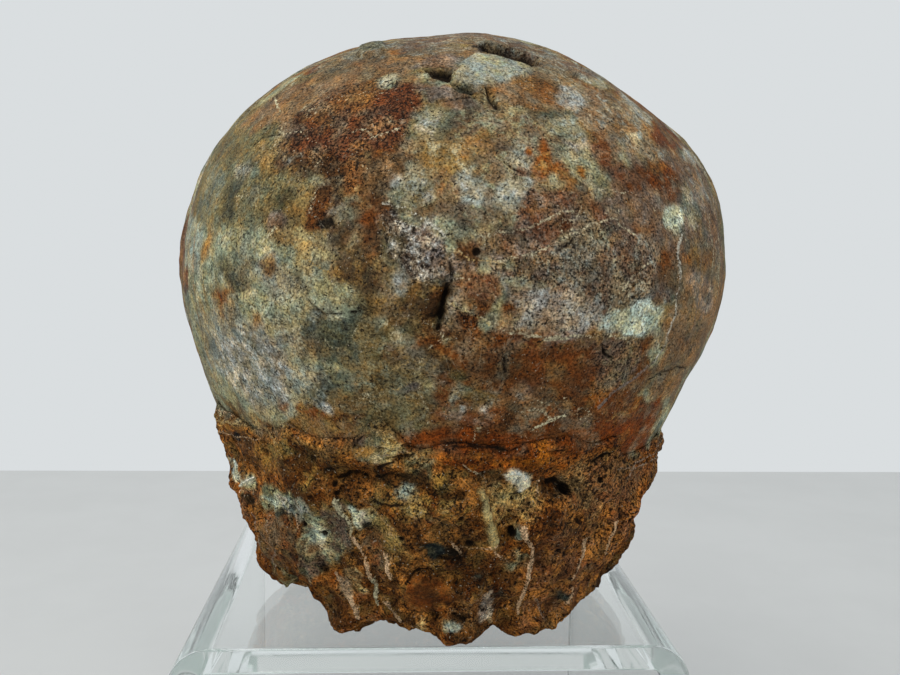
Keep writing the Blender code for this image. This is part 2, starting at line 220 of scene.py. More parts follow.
SOOT = (30, 36, 36)
LODEN = (96, 98, 80)
TOFFEE = (124, 90, 54)
AMBER = (130, 80, 36)
MILK = (222, 218, 202)
BUFF = (184, 158, 128)
LICHEN = (150, 156, 140)


def to_linear(colour):
    share = np.asarray(colour, dtype=float) / 255.0
    return np.where(share <= 0.04045, share / 12.92, ((share + 0.055) / 1.055) ** 2.4)


# ---- Shapes shared with the solids -------------------------------------------------------------

def read_curve(places, values, at):
    """A smooth curve through the points (places, values), read at each number in at."""
    places = np.asarray(places, dtype=float)
    values = np.asarray(values, dtype=float)
    slopes = np.gradient(values, places)
    left = np.clip(np.searchsorted(places, at) - 1, 0, len(places) - 2)
    step = places[left + 1] - places[left]
    t = (at - places[left]) / step
    start = (2 * t ** 3 - 3 * t ** 2 + 1) * values[left] + (t ** 3 - 2 * t ** 2 + t) * step * slopes[left]
    end = (3 * t ** 2 - 2 * t ** 3) * values[left + 1] + (t ** 3 - t ** 2) * step * slopes[left + 1]
    return start + end


def lumps(points, size, octaves, seed):
    """The solids' own noise at each point, with lumps of the given size."""
    shift = Vector((17.1, 3.7, 9.3)) * seed
    return np.array([noise.fractal(Vector(p) / size + shift, 1.0, 2.0, octaves) for p in points])


def direction(azimuth, elevation):
    """The unit direction at an azimuth and an elevation in degrees. Azimuth 0 is the front."""
    around = math.radians(azimuth)
    up = math.radians(elevation)
    return np.array((math.sin(around) * math.cos(up), -math.cos(around) * math.cos(up), math.sin(up)))


def directions_at(azimuths, elevations):
    """The same for arrays."""
    around = np.radians(azimuths)
    up = np.radians(elevations)
    return np.stack([np.sin(around) * np.cos(up), -np.cos(around) * np.cos(up), np.sin(up)], axis=1)


def degrees_apart(first, second):
    return (first - second + 180.0) % 360.0 - 180.0


def proud_shell(azimuth, elevation):
    """1 where the thicker layer of shell lies, from its edge on the left round to the back."""
    ragged = sum(size * np.sin(np.radians(elevation * waves)) for size, waves in SHELL_WAVES)
    inside = degrees_apart(SHELL_EDGE + ragged, azimuth)
    back = degrees_apart(azimuth, SHELL_BACK_EDGE + ragged)
    from_edge = np.where(azimuth < 0, inside, back)
    side = np.clip(from_edge / SHELL_SLOPE + 0.5, 0.0, 1.0)
    top = np.clip((SHELL_TOP[0] - elevation) / SHELL_TOP[1], 0.0, 1.0)
    bottom = np.clip((elevation - SHELL_BOTTOM[0]) / SHELL_BOTTOM[1], 0.0, 1.0)
    return side * top * bottom


def egg_angles(directions):
    azimuth = np.degrees(np.arctan2(directions[:, 0], -directions[:, 1]))
    elevation = np.degrees(np.arcsin(np.clip(directions[:, 2], -1.0, 1.0)))
    return azimuth, elevation


def egg_surface(directions, offset=0.0):
    """Points on the egg's surface in the given unit directions from its centre."""
    azimuth, elevation = egg_angles(directions)
    radius = read_curve(*zip(*EGG_RADII), elevation)
    for place, height, spread, rise in EGG_FORMS:
        angle = np.degrees(np.arccos(np.clip(directions @ direction(place, height), -1.0, 1.0)))
        radius += rise * np.exp(-(angle / spread) ** 2)
    radius += EGG_LUMP * lumps(directions * radius[:, None], EGG_LUMP_SIZE, LUMP_OCTAVES, seed=1)
    radius += SHELL * proud_shell(azimuth, elevation)
    points = directions * (radius + offset)[:, None]
    points[:, 0] += points[:, 2] * math.tan(math.radians(EGG_LEAN))
    return points + EGG_CENTRE


def upright(outward):
    """Takes the egg's lean out of offsets from its centre."""
    outward[:, 0] -= outward[:, 2] * math.tan(math.radians(EGG_LEAN))
    return outward


def rock_relief(azimuth, height, points):
    relief = np.zeros(len(azimuth))
    for seed, (size, rise) in enumerate(MATRIX_LUMPS, start=FIRST_LUMP_SEED):
        relief += rise * lumps(points, size, LUMP_OCTAVES, seed)
    for place, level, half_width, half_height, rise in MATRIX_FORMS + FINE_FORMS:
        around = np.radians(degrees_apart(azimuth, place)) * np.hypot(points[:, 0], points[:, 1])
        nearness = (around / half_width) ** 2 + ((height - level) / half_height) ** 2
        relief += rise * np.exp(-nearness)
    return relief


def rock_surface(azimuth, level):
    """Points on the rock's outline, from the underside (level 0) up to level 1."""
    levels, radii, heights = zip(*MATRIX_OUTLINE)
    radius = read_curve(levels, radii, level)
    height = read_curve(levels, heights, level)
    rim = np.exp(-((level - RIM_LEVEL) / RIM_REACH) ** 2)
    height = height + rim * read_curve(*zip(*RIM_LIFT), azimuth)
    sine = np.sin(np.radians(azimuth))
    cosine = np.cos(np.radians(azimuth))
    plain = np.stack([radius * sine, -radius * cosine, height], axis=1)
    relief = rock_relief(azimuth, height, plain)
    wall = np.clip((level - WALL_START[0]) / WALL_START[1], 0.0, 1.0)
    radius = radius + relief * wall
    height = height + relief * (1.0 - wall) * np.clip(level / MIDDLE_FADE, 0.0, 1.0)
    x = radius * sine
    y = -radius * cosine
    underside = np.clip((UNDERSIDE_END[0] - level) / UNDERSIDE_END[1], 0.0, 1.0)
    for place, distance in CONTACT_LUMPS:
        centre = direction(place, 0.0) * distance
        away = np.hypot(x - centre[0], y - centre[1]) / CONTACT_SIZE
        height = height - height * underside * np.exp(-away ** 2)
    height = np.maximum(height, 0.0) + GAP
    return np.stack([MATRIX_AXIS[0] + x, MATRIX_AXIS[1] + y, STAND_SIZE[2] + height], axis=1)


# ---- Seeded fields, read at many points at once ------------------------------------------------

def scatter(cells, seed):
    """A number from 0 to 1 for each whole-numbered cell."""
    mixed = cells[:, 0] * 374761393 + cells[:, 1] * 668265263 + cells[:, 2] * 1442695041 + seed * 971
    mixed = (mixed & 0xFFFFFFFF) * 1274126177 & 0xFFFFFFFF
    mixed = (mixed ^ (mixed >> 13)) * 668265263 & 0xFFFFFFFF
    return ((mixed ^ (mixed >> 16)) & 0xFFFF) / 65535.0


def soft_noise(points, size, seed, octaves=1):
    """Smooth noise from -1 to 1 with lumps of the given size. A size may be one per axis."""
    total = np.zeros(len(points))
    weight = 1.0
    scale = np.asarray(size, dtype=float)
    for octave in range(octaves):
        place = points / scale + (seed + octave) * 7.31
        base = np.floor(place).astype(np.int64)
        t = place - base
        t = t * t * (3.0 - 2.0 * t)
        for corner in range(8):
            step = np.array([corner & 1, corner >> 1 & 1, corner >> 2 & 1])
            share = np.prod(np.where(step == 1, t, 1.0 - t), axis=1)
            total += weight * share * (scatter(base + step, seed + octave * 17) * 2.0 - 1.0)
        weight *= 0.5
        scale = scale * 0.5
    return total / (2.0 - 0.5 ** (octaves - 1)) * 1.6


def uneven(points, rise, kind):
    """The noise of that kind (size, seed and octaves), as a rise in mm."""
    return soft_noise(points, *kind) * rise


def grains(points, size, seed):
    """Each point's distance from the nearest grain's centre, in grain sizes, and that grain's tone, 0 to 1."""
    place = points / size
    base = np.floor(place).astype(np.int64)
    nearest = np.full(len(points), np.inf)
    tone = np.zeros(len(points))
    for index in range(27):
        cell = base + np.array([index % 3 - 1, index // 3 % 3 - 1, index // 9 - 1])
        centre = cell + np.stack([scatter(cell, seed + axis) for axis in range(3)], axis=1)
        away = np.linalg.norm(place - centre, axis=1)
        closer = away < nearest
        tone = np.where(closer, scatter(cell, seed + 5), tone)
        nearest = np.minimum(nearest, away)
    return nearest, tone


def smooth(value):
    """Rises softly from 0 to 1 where the value does, and stays flat beyond."""
    share = np.clip(value, 0.0, 1.0)
    return share * share * (3.0 - 2.0 * share)


# ---- The camera and the charts on which features are placed -------------------------------------

def camera_axes():
    """The camera's right, up and forward directions."""
    yaw, pitch, roll = (math.radians(angle) for angle in (CAMERA_YAW, CAMERA_PITCH, CAMERA_ROLL))
    forward = Vector((-math.sin(yaw) * math.cos(pitch), math.cos(yaw) * math.cos(pitch), -math.sin(pitch)))
    right = Vector((math.cos(yaw), math.sin(yaw), 0.0))
    up = right.cross(forward)
    rolled_right = right * math.cos(roll) + up * math.sin(roll)
    rolled_up = up * math.cos(roll) - right * math.sin(roll)
    return rolled_right, rolled_up, forward


def ray_through(pixel):
    """The direction from the camera through a pixel."""
    right, up, forward = camera_axes()
    across = (pixel[0] - VIEW_MIDDLE[0]) / FOCAL_PIXELS
    down = (pixel[1] - VIEW_MIDDLE[1]) / FOCAL_PIXELS
    return (forward + right * across - up * down).normalized()


class Chart:
    """A flat map of one surface, in mm, with a way to find where a pixel lands on it."""

    def __init__(self, tree, flatten, middle):
        self.tree = tree
        self.flatten = flatten
        self.middle = middle

    def spot(self, pixel):
        """The place on the chart seen at a pixel. A pixel just outside the outline moves in to it."""
        for share in np.linspace(0.0, INWARD_SHARE, INWARD_STEPS):
            at = [pixel[k] + (self.middle[k] - pixel[k]) * share for k in range(2)]
            hit = self.tree.ray_cast(Vector(CAMERA_PLACE), ray_through(at))[0]
            if hit is not None and hit[1] < NEAR_SIDE:
                return self.flatten(np.array([hit]))[0]
        raise ValueError("no surface near pixel %s" % (pixel,))

    def line(self, pixels):
        return np.array([self.spot(pixel) for pixel in pixels])


def egg_chart_points(points):
    """The egg flattened about the direction that faces the camera."""
    axis = np.array(CAMERA_PLACE) - EGG_CENTRE
    axis /= np.linalg.norm(axis)
    right = np.cross((0.0, 0.0, 1.0), axis)
    right /= np.linalg.norm(right)
    up = np.cross(axis, right)
    outward = points - EGG_CENTRE
    outward /= np.linalg.norm(outward, axis=1)[:, None]
    angle = np.arccos(np.clip(outward @ axis, -1.0, 1.0))
    flat = np.stack([outward @ right, outward @ up], axis=1)
    length = np.maximum(np.linalg.norm(flat, axis=1), 1e-6)
    return flat * (angle * EGG_CHART_RADIUS / length)[:, None]


def rock_chart_points(points):
    """The rock's wall unrolled about its axis."""
    azimuth = np.arctan2(points[:, 0] - MATRIX_AXIS[0], -(points[:, 1] - MATRIX_AXIS[1]))
    return np.stack([azimuth * ROCK_CHART_RADIUS, points[:, 2] - STAND_SIZE[2]], axis=1)


def oval(x, y, half_width, half_height, turn=0.0):
    """An oval outline in pixels, turned clockwise by so many degrees."""
    cosine = math.cos(math.radians(turn))
    sine = math.sin(math.radians(turn))
    outline = []
    for step in range(OVAL_POINTS):
        angle = math.tau * step / OVAL_POINTS
        a = math.cos(angle) * half_width
        b = math.sin(angle) * half_height
        outline.append((x + a * cosine - b * sine, y + a * sine + b * cosine))
    return outline


def distance_to_line(spots, line, closed):
    """The distance of each spot from a line of straight stretches, and whether it is inside a closed one."""
    ends = np.roll(line, -1, axis=0)
    pairs = list(zip(line, ends)) if closed else list(zip(line[:-1], line[1:]))
    nearest = np.full(len(spots), 1e9)
    inside = np.zeros(len(spots), dtype=bool)
    for start, end in pairs:
        stretch = end - start
        along = np.clip((spots - start) @ stretch / max(stretch @ stretch, 1e-9), 0.0, 1.0)
        gap = spots - start - along[:, None] * stretch
        nearest = np.minimum(nearest, np.hypot(gap[:, 0], gap[:, 1]))
        if closed:
            crosses = (start[1] > spots[:, 1]) != (end[1] > spots[:, 1])
            rise = stretch[1] if abs(stretch[1]) > 1e-9 else 1e-9
            inside ^= crosses & (spots[:, 0] < start[0] + (spots[:, 1] - start[1]) * stretch[0] / rise)
    return nearest, inside


class Canvas:
    """What is painted on a surface's vertices: colours, how they mix, and how far the surface moves."""

    def __init__(self, points, spots):
        self.points = points
        self.spots = spots
        count = len(points)
        self.body = np.tile(to_linear(TAN), (count, 1))
        self.fleck = np.tile(to_linear(PALE), (count, 1))
        self.share = np.full(count, PLAIN_SHARE)
        self.pores = np.full(count, PLAIN_PORES)
        self.specks = np.full(count, PLAIN_SPECKS)
        self.vein = np.full(count, NO_LINE)
        self.crack = np.full(count, NO_LINE)
        self.vein_colour = np.tile(to_linear(CREAM), (count, 1))
        self.rise = np.zeros(count)
        self.ragged = soft_noise(points, *RAGGED_NOISE)
        self.frayed = soft_noise(points, *FRAYED_NOISE)
        wander = np.stack([soft_noise(points, *kind) for kind in WANDER_NOISES], axis=1)
        self.wandered = spots + wander * WANDER
        self.swirl = np.stack([soft_noise(points, *kind) for kind in SWIRL_NOISES], axis=1) * SWIRL

    def near(self, line, reach):
        """The vertices in the box round a line, widened by reach."""
        low = line.min(axis=0) - reach
        high = line.max(axis=0) + reach
        return np.flatnonzero(np.all((self.spots > low) & (self.spots < high), axis=1))

    def area(self, line, softness, raggedness, swirl=0.0):
        """The vertices in and round a closed line, and how fully each is in it."""
        chosen = self.near(line, softness + raggedness * 2.0 + swirl * 3.0 + 1.0)
        distance, inside = distance_to_line(self.spots[chosen] + self.swirl[chosen] * swirl, line, True)
        depth = np.where(inside, distance, -distance) + self.ragged[chosen] * raggedness
        return chosen, smooth((depth + self.frayed[chosen] * raggedness * FRAYED_SHARE) / softness + 0.5)

    def blend(self, chosen, weight, body, fleck, share, pores=None, specks=None):
        """Mixes colours and shares into the chosen vertices, each by its weight."""
        column = weight[:, None]
        self.body[chosen] += (to_linear(body) - self.body[chosen]) * column
        self.fleck[chosen] += (to_linear(fleck) - self.fleck[chosen]) * column
        self.share[chosen] += (share - self.share[chosen]) * weight
        if pores is not None:
            self.pores[chosen] += (pores - self.pores[chosen]) * weight
        if specks is not None:
            self.specks[chosen] += (specks - self.specks[chosen]) * weight

    def patch(self, line, softness, body, fleck, share, pores=None, specks=None):
        loose = min(softness / 2.0, PATCH_SWIRL)
        raggedness = PATCH_RAGGED[0] + softness * PATCH_RAGGED[1]
        chosen, weight = self.area(line, softness * PATCH_SPREAD, raggedness, loose)
        self.blend(chosen, weight, body, fleck, share, pores, specks)

    def form(self, line, softness, rise):
        chosen, weight = self.area(line, softness, FORM_RAGGED)
        self.rise[chosen] += weight * rise

    def along(self, line, width, raggedness):
        """The vertices near an open line, and how far each is inside its ragged edge."""
        chosen = self.near(line, width + LINE_MARGIN)
        distance = distance_to_line(self.wandered[chosen], line, False)[0]
        return chosen, width / 2.0 - distance + raggedness * width * self.ragged[chosen]

    def add_vein(self, line, width, rise, colour):
        chosen, edge = self.along(line, width, VEIN_RAGGED)
        self.rise[chosen] += rise * smooth(edge / VEIN_SLOPE[0] + VEIN_SLOPE[1])
        closer = edge > self.vein[chosen]
        changed = chosen[closer]
        self.vein[changed] = edge[closer]
        self.vein_colour[changed] = to_linear(colour)

    def add_crack(self, line, width, depth):
        chosen, edge = self.along(line, width, CRACK_RAGGED)
        # The crack channel marks where the crack is painted near-black as shade.
        self.crack[chosen] = np.maximum(self.crack[chosen], edge)
        self.rise[chosen] -= depth * smooth(edge / CRACK_SLOPE[0] + CRACK_SLOPE[1])

    def pit(self, spot, radius, depth):
        line = spot + np.array([(radius, 0.0), (0.0, radius), (-radius, 0.0), (0.0, -radius)])
        chosen = self.near(line, radius + 1.0)
        distance = np.linalg.norm(self.wandered[chosen] - spot, axis=1)
        edge = radius - distance
        # The pit's middle is painted near-black as shade.
        self.crack[chosen] = np.maximum(self.crack[chosen], edge - radius * PIT_RIM)
        self.rise[chosen] -= depth * smooth(edge / max(radius * PIT_SLOPE[0], PIT_SLOPE[1]))


def add_colours(mesh, name, values):
    """Stores three values per vertex as a colour attribute."""
    colours = np.ones((len(mesh.vertices), 4), dtype=np.float32)
    colours[:, :3] = values
    layer = mesh.color_attributes.new(name=name, type="FLOAT_COLOR", domain="POINT")
    layer.data.foreach_set("color", colours.ravel())


def add_object(name, data):
    thing = bpy.data.objects.new(name, data)
    bpy.context.scene.collection.objects.link(thing)
    return thing


def finish_piece(name, points, faces, canvas, material, node):
    """Makes the object, stores what was painted on it, and ties it to the frame."""
    mesh = bpy.data.meshes.new(name)
    mesh.from_pydata((points * MM).tolist(), [], faces)
    mesh.update()
    mesh.shade_smooth()
    add_colours(mesh, "body", canvas.body)
    add_colours(mesh, "fleck", canvas.fleck)
    add_colours(mesh, "vein_colour", canvas.vein_colour)
    add_colours(mesh, "mixing", np.stack([canvas.share, canvas.pores, canvas.specks], axis=1))
    # The edges colour holds the distances to veins and cracks, and the painted shade of hollows.
    edges = np.stack([canvas.vein, canvas.crack], axis=1)
    cavity = np.clip(canvas.cavity, 0.0, 1.0)[:, None]
    add_colours(mesh, "edges", np.hstack([np.clip(edges / EDGE_SPAN + 0.5, 0.0, 1.0), cavity]))
    mesh.materials.append(material)
    piece = add_object(name, mesh)
    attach(piece, "root")
    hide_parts(node)


# ---- The egg -----------------------------------------------------------------------------------

# Patches, one over the other: body colour, fleck colour, share of flecks, softness in mm, outline in pixels,
# then pores and specks where they change.
EGG_PATCHES = (
    # large zones
    (GREY, PALE, 0.34, 5.0, ((184, 292), (190, 235), (235, 212), (300, 222), (345, 262), (362, 300),
     (358, 372), (345, 440), (300, 440), (250, 425), (212, 400), (192, 340))),
    (OLIVE, OCHRE, 0.30, 4.0, ((188, 232), (208, 160), (240, 115), (285, 118), (330, 170), (320, 212),
     (250, 222))),
    (DOME, ASH, 0.30, 4.0, ((300, 80), (370, 42), (430, 30), (500, 34), (560, 48), (610, 80), (560, 78),
     (500, 62), (430, 66), (370, 84))),
    (CLAY, DOME, 0.30, 3.0, ((240, 125), (285, 92), (350, 66), (410, 56), (420, 80), (340, 100),
     (285, 130))),
    (TAN, STONE, 0.34, 4.0, ((340, 318), (430, 300), (442, 335), (432, 380), (442, 440), (350, 440),
     (340, 380))),
    (TAN, OCHRE, 0.30, 4.0, ((325, 232), (385, 240), (440, 290), (440, 332), (362, 316), (330, 280))),
    (EARTH, CLAY, 0.34, 4.0, ((438, 330), (520, 338), (600, 345), (655, 335), (650, 380), (600, 424),
     (520, 436), (446, 434), (430, 380))),
    (CLAY, CLAY, 0.34, 3.0, ((655, 245), (690, 232), (726, 250), (718, 320), (700, 362), (672, 400),
     (650, 412), (655, 350), (668, 300))),
    (CLAY, ASH, 0.32, 3.0, ((555, 70), (620, 100), (690, 165), (650, 178), (600, 128), (552, 102))),
    (MAUVE, ROSE, 0.30, 4.0, ((560, 200), (620, 180), (690, 160), (722, 215), (722, 260), (660, 250),
     (600, 235))),
    (DOME, GREY, 0.34, 4.0, ((385, 208), (416, 162), (428, 108), (470, 96), (520, 108), (572, 128),
     (565, 190), (530, 232), (470, 240), (430, 226))),
    # brick-red zone
    (BRICK, BRICK_DARK, 0.34, 3.0, ((272, 172), (284, 126), (330, 94), (380, 80), (428, 88), (426, 112),
     (412, 138), (392, 154), (372, 160), (366, 178), (335, 188), (296, 180)), 0.55, 0.22),
    (TOFFEE, BRICK_DARK, 0.25, 3.0, ((300, 118), (350, 84), (392, 74), (380, 100), (330, 124)), 0.45, 0.1),
    (UMBER, ASH, 0.25, 2.5, ((280, 150), (300, 140), (312, 160), (300, 172), (282, 168)), 0.3, 0.2),
    # left
    (OCHRE, SAND, 0.4, 1.6, ((252, 150), (262, 140), (280, 146), (276, 172), (262, 180), (250, 168))),
    (BLUE_GREY, SLATE, 0.25, 2.0, oval(243, 178, 12, 24, 30)),
    (ASH, SLATE, 0.25, 1.2, oval(243, 172, 6, 10, 35), 0.4),
    (UMBER, OCHRE, 0.3, 2.5, oval(310, 172, 24, 12, -15)),
    (STONE, OLIVE, 0.3, 2.5, oval(212, 195, 10, 30, 20)),
    (TAN, OCHRE, 0.45, 3.0, ((262, 222), (288, 176), (330, 190), (352, 218), (350, 250), (300, 248))),
    (MOSS, OLIVE, 0.3, 2.0, oval(286, 200, 10, 18, 40)),
    (RUST, BRICK_DARK, 0.3, 1.2, ((308, 206), (318, 184), (334, 186), (330, 212), (318, 234), (304, 232)),
     0.4, 0.1),
    (PURPLE, CHALK, 0.2, 1.5, oval(334, 222, 9, 20, 10), 0.3, 0.3),
    (RUST, BROWN, 0.35, 1.0, ((362, 170), (376, 150), (412, 157), (400, 178), (385, 202), (368, 192)), 0.3,
     0.1),
    (RUST, BROWN, 0.3, 1.4, ((358, 205), (392, 205), (390, 240), (374, 264), (352, 250)), 0.3, 0.15),
    (BLUE_GREY, SLATE, 0.2, 2.5, oval(250, 262, 9, 22, 30)),
    (BLUE_GREY, SLATE, 0.2, 2.5, oval(238, 288, 10, 14, 10)),
    (HONEY, OCHRE, 0.3, 1.6, oval(207, 251, 5, 13, 8)),
    (AMBER, OCHRE, 0.5, 2.4, oval(229, 311, 8, 18, -10)),
    (EARTH_LIGHT, OCHRE, 0.3, 1.8, oval(228, 352, 7, 18, -8)),
    (EARTH_LIGHT, OCHRE, 0.3, 1.8, oval(252, 331, 6, 14, -6)),
    (SAND, TAN, 0.3, 1.5, oval(206, 330, 4, 32, -10)),
    (RED_BROWN, CLAY, 0.3, 1.0, ((181, 262), (188, 214), (194, 205), (190, 250), (188, 292), (182, 296))),
    (GREY, PALE, 0.4, 3.0, oval(262, 300, 26, 60, -8)),
    (LICHEN, PALE, 0.4, 3.0, oval(290, 388, 40, 28, 20)),
    (LODEN, SLATE, 0.3, 1.2, ((306, 300), (325, 315), (356, 311), (352, 340), (346, 372), (318, 366),
     (303, 335)), 0.2),
    (BLUE_GREY, SLATE, 0.25, 2.0, oval(330, 385, 20, 22)),
    (DOME, SLATE, 0.25, 2.0, oval(334, 262, 16, 14)),
    (MOSS, GREY, 0.35, 2.0, oval(392, 345, 22, 14, -10)),
    (EARTH, ORANGE, 0.4, 1.6, oval(432, 346, 14, 9)),
    (EARTH, OCHRE, 0.3, 1.6, oval(420, 308, 16, 9)),
    # centre
    (PURPLE, BONE, 0.34, 1.4, ((384, 206), (410, 216), (438, 238), (456, 266), (446, 286), (412, 282),
     (390, 262), (384, 236)), 0.4, 0.4),
    (LILAC, BONE, 0.5, 1.6, ((412, 218), (432, 224), (448, 258), (440, 270), (424, 250)), 0.4, 0.4),
    (BLUE_GREY, CHALK, 0.4, 1.6, ((398, 190), (420, 165), (440, 175), (436, 205), (410, 204))),
    (OCHRE, PALE, 0.35, 2.4, oval(448, 158, 24, 26)),
    (TOFFEE, OCHRE, 0.35, 2.0, oval(484, 146, 16, 13)),
    (TOFFEE, OCHRE, 0.35, 1.6, oval(440, 180, 12, 18, 10)),
    (BLUE_GREY, SLATE, 0.3, 2.0, oval(436, 122, 14, 16)),
    (ASH, CHALK, 0.4, 1.8, oval(468, 182, 12, 12)),
    (ASH, CHALK, 0.4, 1.8, oval(514, 194, 20, 12, -30)),
    (ASH, CHALK, 0.4, 1.8, oval(520, 156, 14, 10)),
    (CREAM, PALE, 0.4, 1.8, oval(448, 226, 13, 8)),
    (LODEN, SLATE, 0.3, 1.8, oval(552, 116, 26, 12, 15)),
    (TOFFEE, DOME, 0.35, 2.0, oval(528, 90, 34, 14, 10)),
    (AMBER, ORANGE, 0.4, 1.0, oval(544, 160, 8, 15)),
    (AMBER, OCHRE, 0.35, 1.5, oval(556, 176, 16, 10, 20)),
    (RED_BROWN, ROSE, 0.34, 1.6, ((470, 244), (500, 226), (540, 196), (566, 192), (600, 204), (604, 220),
     (575, 238), (545, 252), (500, 260), (472, 262)), 0.35, 0.2),
    (BRICK, BRICK_DARK, 0.3, 0.9, oval(570, 226, 11, 6)),
    (MAUVE, ASH, 0.36, 1.6, ((484, 264), (520, 254), (560, 240), (602, 222), (640, 238), (656, 262),
     (652, 292), (620, 312), (560, 302), (520, 292), (492, 284)), 0.45, 0.35),
    (PURPLE, STONE, 0.3, 1.2, ((572, 240), (600, 220), (624, 224), (606, 236), (584, 244))),
    (ROSE, CHALK, 0.4, 2.0, ((500, 290), (540, 296), (600, 306), (610, 326), (560, 334), (514, 330),
     (498, 310)), 0.35, 0.3),
    (ROSE, CHALK, 0.4, 1.2, oval(451, 306, 5, 22, 6)),
    (EARTH, ORANGE, 0.35, 1.4, oval(480, 298, 17, 21)),
    (OCHRE, ORANGE, 0.35, 1.6, oval(560, 322, 26, 7, -4)),
    # right
    (MINT, MINT_PALE, 0.45, 1.4, ((606, 318), (628, 302), (648, 294), (662, 304), (656, 334), (640, 348),
     (622, 336), (604, 332)), 0.3, 0.3),
    (MINT, MINT_PALE, 0.4, 1.2, oval(672, 218, 10, 9)),
    (BLUE_GREY, MINT, 0.3, 1.4, oval(608, 378, 9, 7)),
    (MAUVE, OLIVE, 0.3, 2.0, ((596, 340), (640, 346), (636, 376), (606, 384), (594, 364)), 0.5),
    (BRICK, RUST, 0.3, 2.4, oval(604, 150, 20, 22)),
    (RUST, RUST, 0.3, 2.4, oval(654, 176, 28, 15, 20)),
    (BRICK, RUST, 0.3, 2.0, oval(664, 134, 16, 14, 40)),
    (CHALK, CHALK, 0.4, 1.6, oval(566, 96, 13, 7, 20)),
    (CHALK, CHALK, 0.4, 1.6, oval(580, 148, 16, 14)),
    (CREAM, MINT_PALE, 0.4, 1.4, oval(636, 140, 16, 5, 38)),
    (GREY, CHALK, 0.4, 1.4, oval(596, 82, 14, 6, 35)),
    (STONE, CHALK, 0.35, 1.6, oval(692, 206, 8, 26, -10)),
    (EARTH, BROWN, 0.3, 2.0, oval(662, 275, 8, 18)),
    (ORANGE, OCHRE, 0.3, 1.6, oval(693, 262, 8, 20)),
    (COPPER, ORANGE, 0.3, 3.0, oval(560, 390, 60, 26)),
    (TAN, ASH, 0.35, 2.0, oval(470, 396, 28, 12)),
    (RUST, ORANGE, 0.3, 2.5, oval(505, 420, 60, 10)),
    # crown
    (ASH, CHALK, 0.3, 0.9, ((452, 84), (460, 66), (474, 54), (500, 58), (530, 68), (528, 76), (506, 82),
     (480, 90)), 0.1, 0.1),
    # The crown's long groove, purple stone flecked with painted shade.
    (PURPLE, HOLLOW_SHADE, 0.4, 0.6, ((474, 46), (484, 41), (512, 47), (538, 57), (540, 65), (528, 66), (504, 58),
     (484, 52)), 0.6, 0.2),
    (OCHRE, OCHRE, 0.4, 0.8, oval(466, 43, 9, 4)),
    (DOME, OLIVE, 0.4, 0.8, oval(440, 77, 10, 4, 8)),
    (SLATE, SLATE, 0.3, 0.8, oval(371, 48, 14, 5, -15)),
    (GREY, ASH, 0.3, 1.4, oval(390, 80, 10, 6, -20)),
    (COPPER, ORANGE, 0.4, 0.8, oval(399, 51, 11, 4)),
    (BLUE_GREY, LILAC, 0.35, 1.2, ((420, 92), (446, 84), (474, 92), (470, 102), (440, 102), (424, 102))),
    (BRICK, BRICK, 0.3, 0.5, oval(522, 173, 5, 4, 20)),
    # The three hollows of the crown, painted dark as shade.
    (HOLLOW_SHADE, MOSS, 0.2, 0.5, ((426, 68), (450, 70), (451, 77), (446, 81), (432, 76)), 0.4, 0.0),
    (HOLLOW_SHADE, PURPLE, 0.2, 0.5, ((450, 84), (462, 86), (476, 89), (471, 94), (456, 92)), 0.4, 0.0),
    (HOLLOW_SHADE, UMBER, 0.2, 0.5, ((485, 88), (491, 92), (494, 101), (500, 110), (493, 106), (488, 98))),
    # the gap below the rust patch, and the lower middle
    (BROWN, CLAY, 0.4, 1.6, ((448, 306), (462, 312), (488, 322), (512, 334), (516, 350), (500, 356),
     (470, 350), (446, 340), (440, 328)), 0.4, 0.1),
    (COPPER, CLAY, 0.35, 1.6, ((486, 336), (504, 334), (516, 338), (516, 360), (498, 366), (484, 352))),
    (RED_BROWN, CLAY, 0.4, 1.2, ((466, 274), (486, 272), (498, 284), (496, 312), (484, 314), (468, 298))),
    (ROSE, CREAM, 0.4, 0.8, ((450, 296), (460, 300), (456, 314), (448, 328), (442, 334), (444, 320))),
    (LICHEN, ROSE, 0.4, 1.2, ((499, 276), (520, 274), (528, 290), (516, 302), (500, 298))),
    (ASH, BONE, 0.4, 1.2, ((388, 270), (400, 266), (412, 276), (408, 292), (394, 290))),
    (UMBER, OCHRE, 0.35, 1.2, ((416, 280), (438, 276), (446, 290), (440, 312), (420, 318), (402, 312),
     (404, 298))),
    (AMBER, OCHRE, 0.4, 0.8, oval(430, 308, 6, 5)),
    (COPPER, CLAY, 0.35, 1.0, oval(420, 349, 12, 7, -12)),
    (OLIVE, CREAM, 0.4, 1.4, oval(398, 340, 14, 12)),
    (SLATE, BONE, 0.5, 0.9, oval(434, 367, 9, 8)),
    (MOSS, TAN, 0.35, 1.4, oval(456, 379, 14, 4, 12)),
    (SLATE, ASH, 0.4, 0.7, oval(449, 403, 4, 9, 4)),
    (LODEN, UMBER, 0.35, 0.8, oval(468, 391, 10, 3.5, 24)),
    (ASH, BONE, 0.4, 0.8, oval(460, 409, 5, 4)),
    (ROSE, BONE, 0.4, 1.0, oval(484, 412, 10, 6, 30)),
    (ASH, MOSS, 0.35, 0.9, oval(502, 380, 4, 8, 20)),
    (ROSE, CLAY, 0.35, 1.4, oval(520, 388, 10, 9)),
    (MAUVE, ROSE, 0.35, 1.4, oval(546, 360, 14, 10)),
    (RED_BROWN, ROSE, 0.35, 1.2, ((434, 414), (460, 412), (490, 418), (486, 426), (440, 424))),
    (RUST, OXBLOOD, 0.4, 1.2, ((408, 426), (430, 420), (470, 424), (520, 428), (560, 430), (560, 440),
     (410, 440))),
    (RUST, BROWN, 0.3, 3.0, ((520, 346), (580, 348), (600, 360), (590, 400), (552, 404), (524, 390))),
    (LILAC, OLIVE, 0.35, 1.4, oval(410, 388, 16, 5, -14)),
    (OLIVE, TAN, 0.4, 3.0, ((300, 392), (340, 396), (380, 400), (420, 404), (424, 426), (340, 440),
     (300, 430))),
    # darker browns on the left and the middle
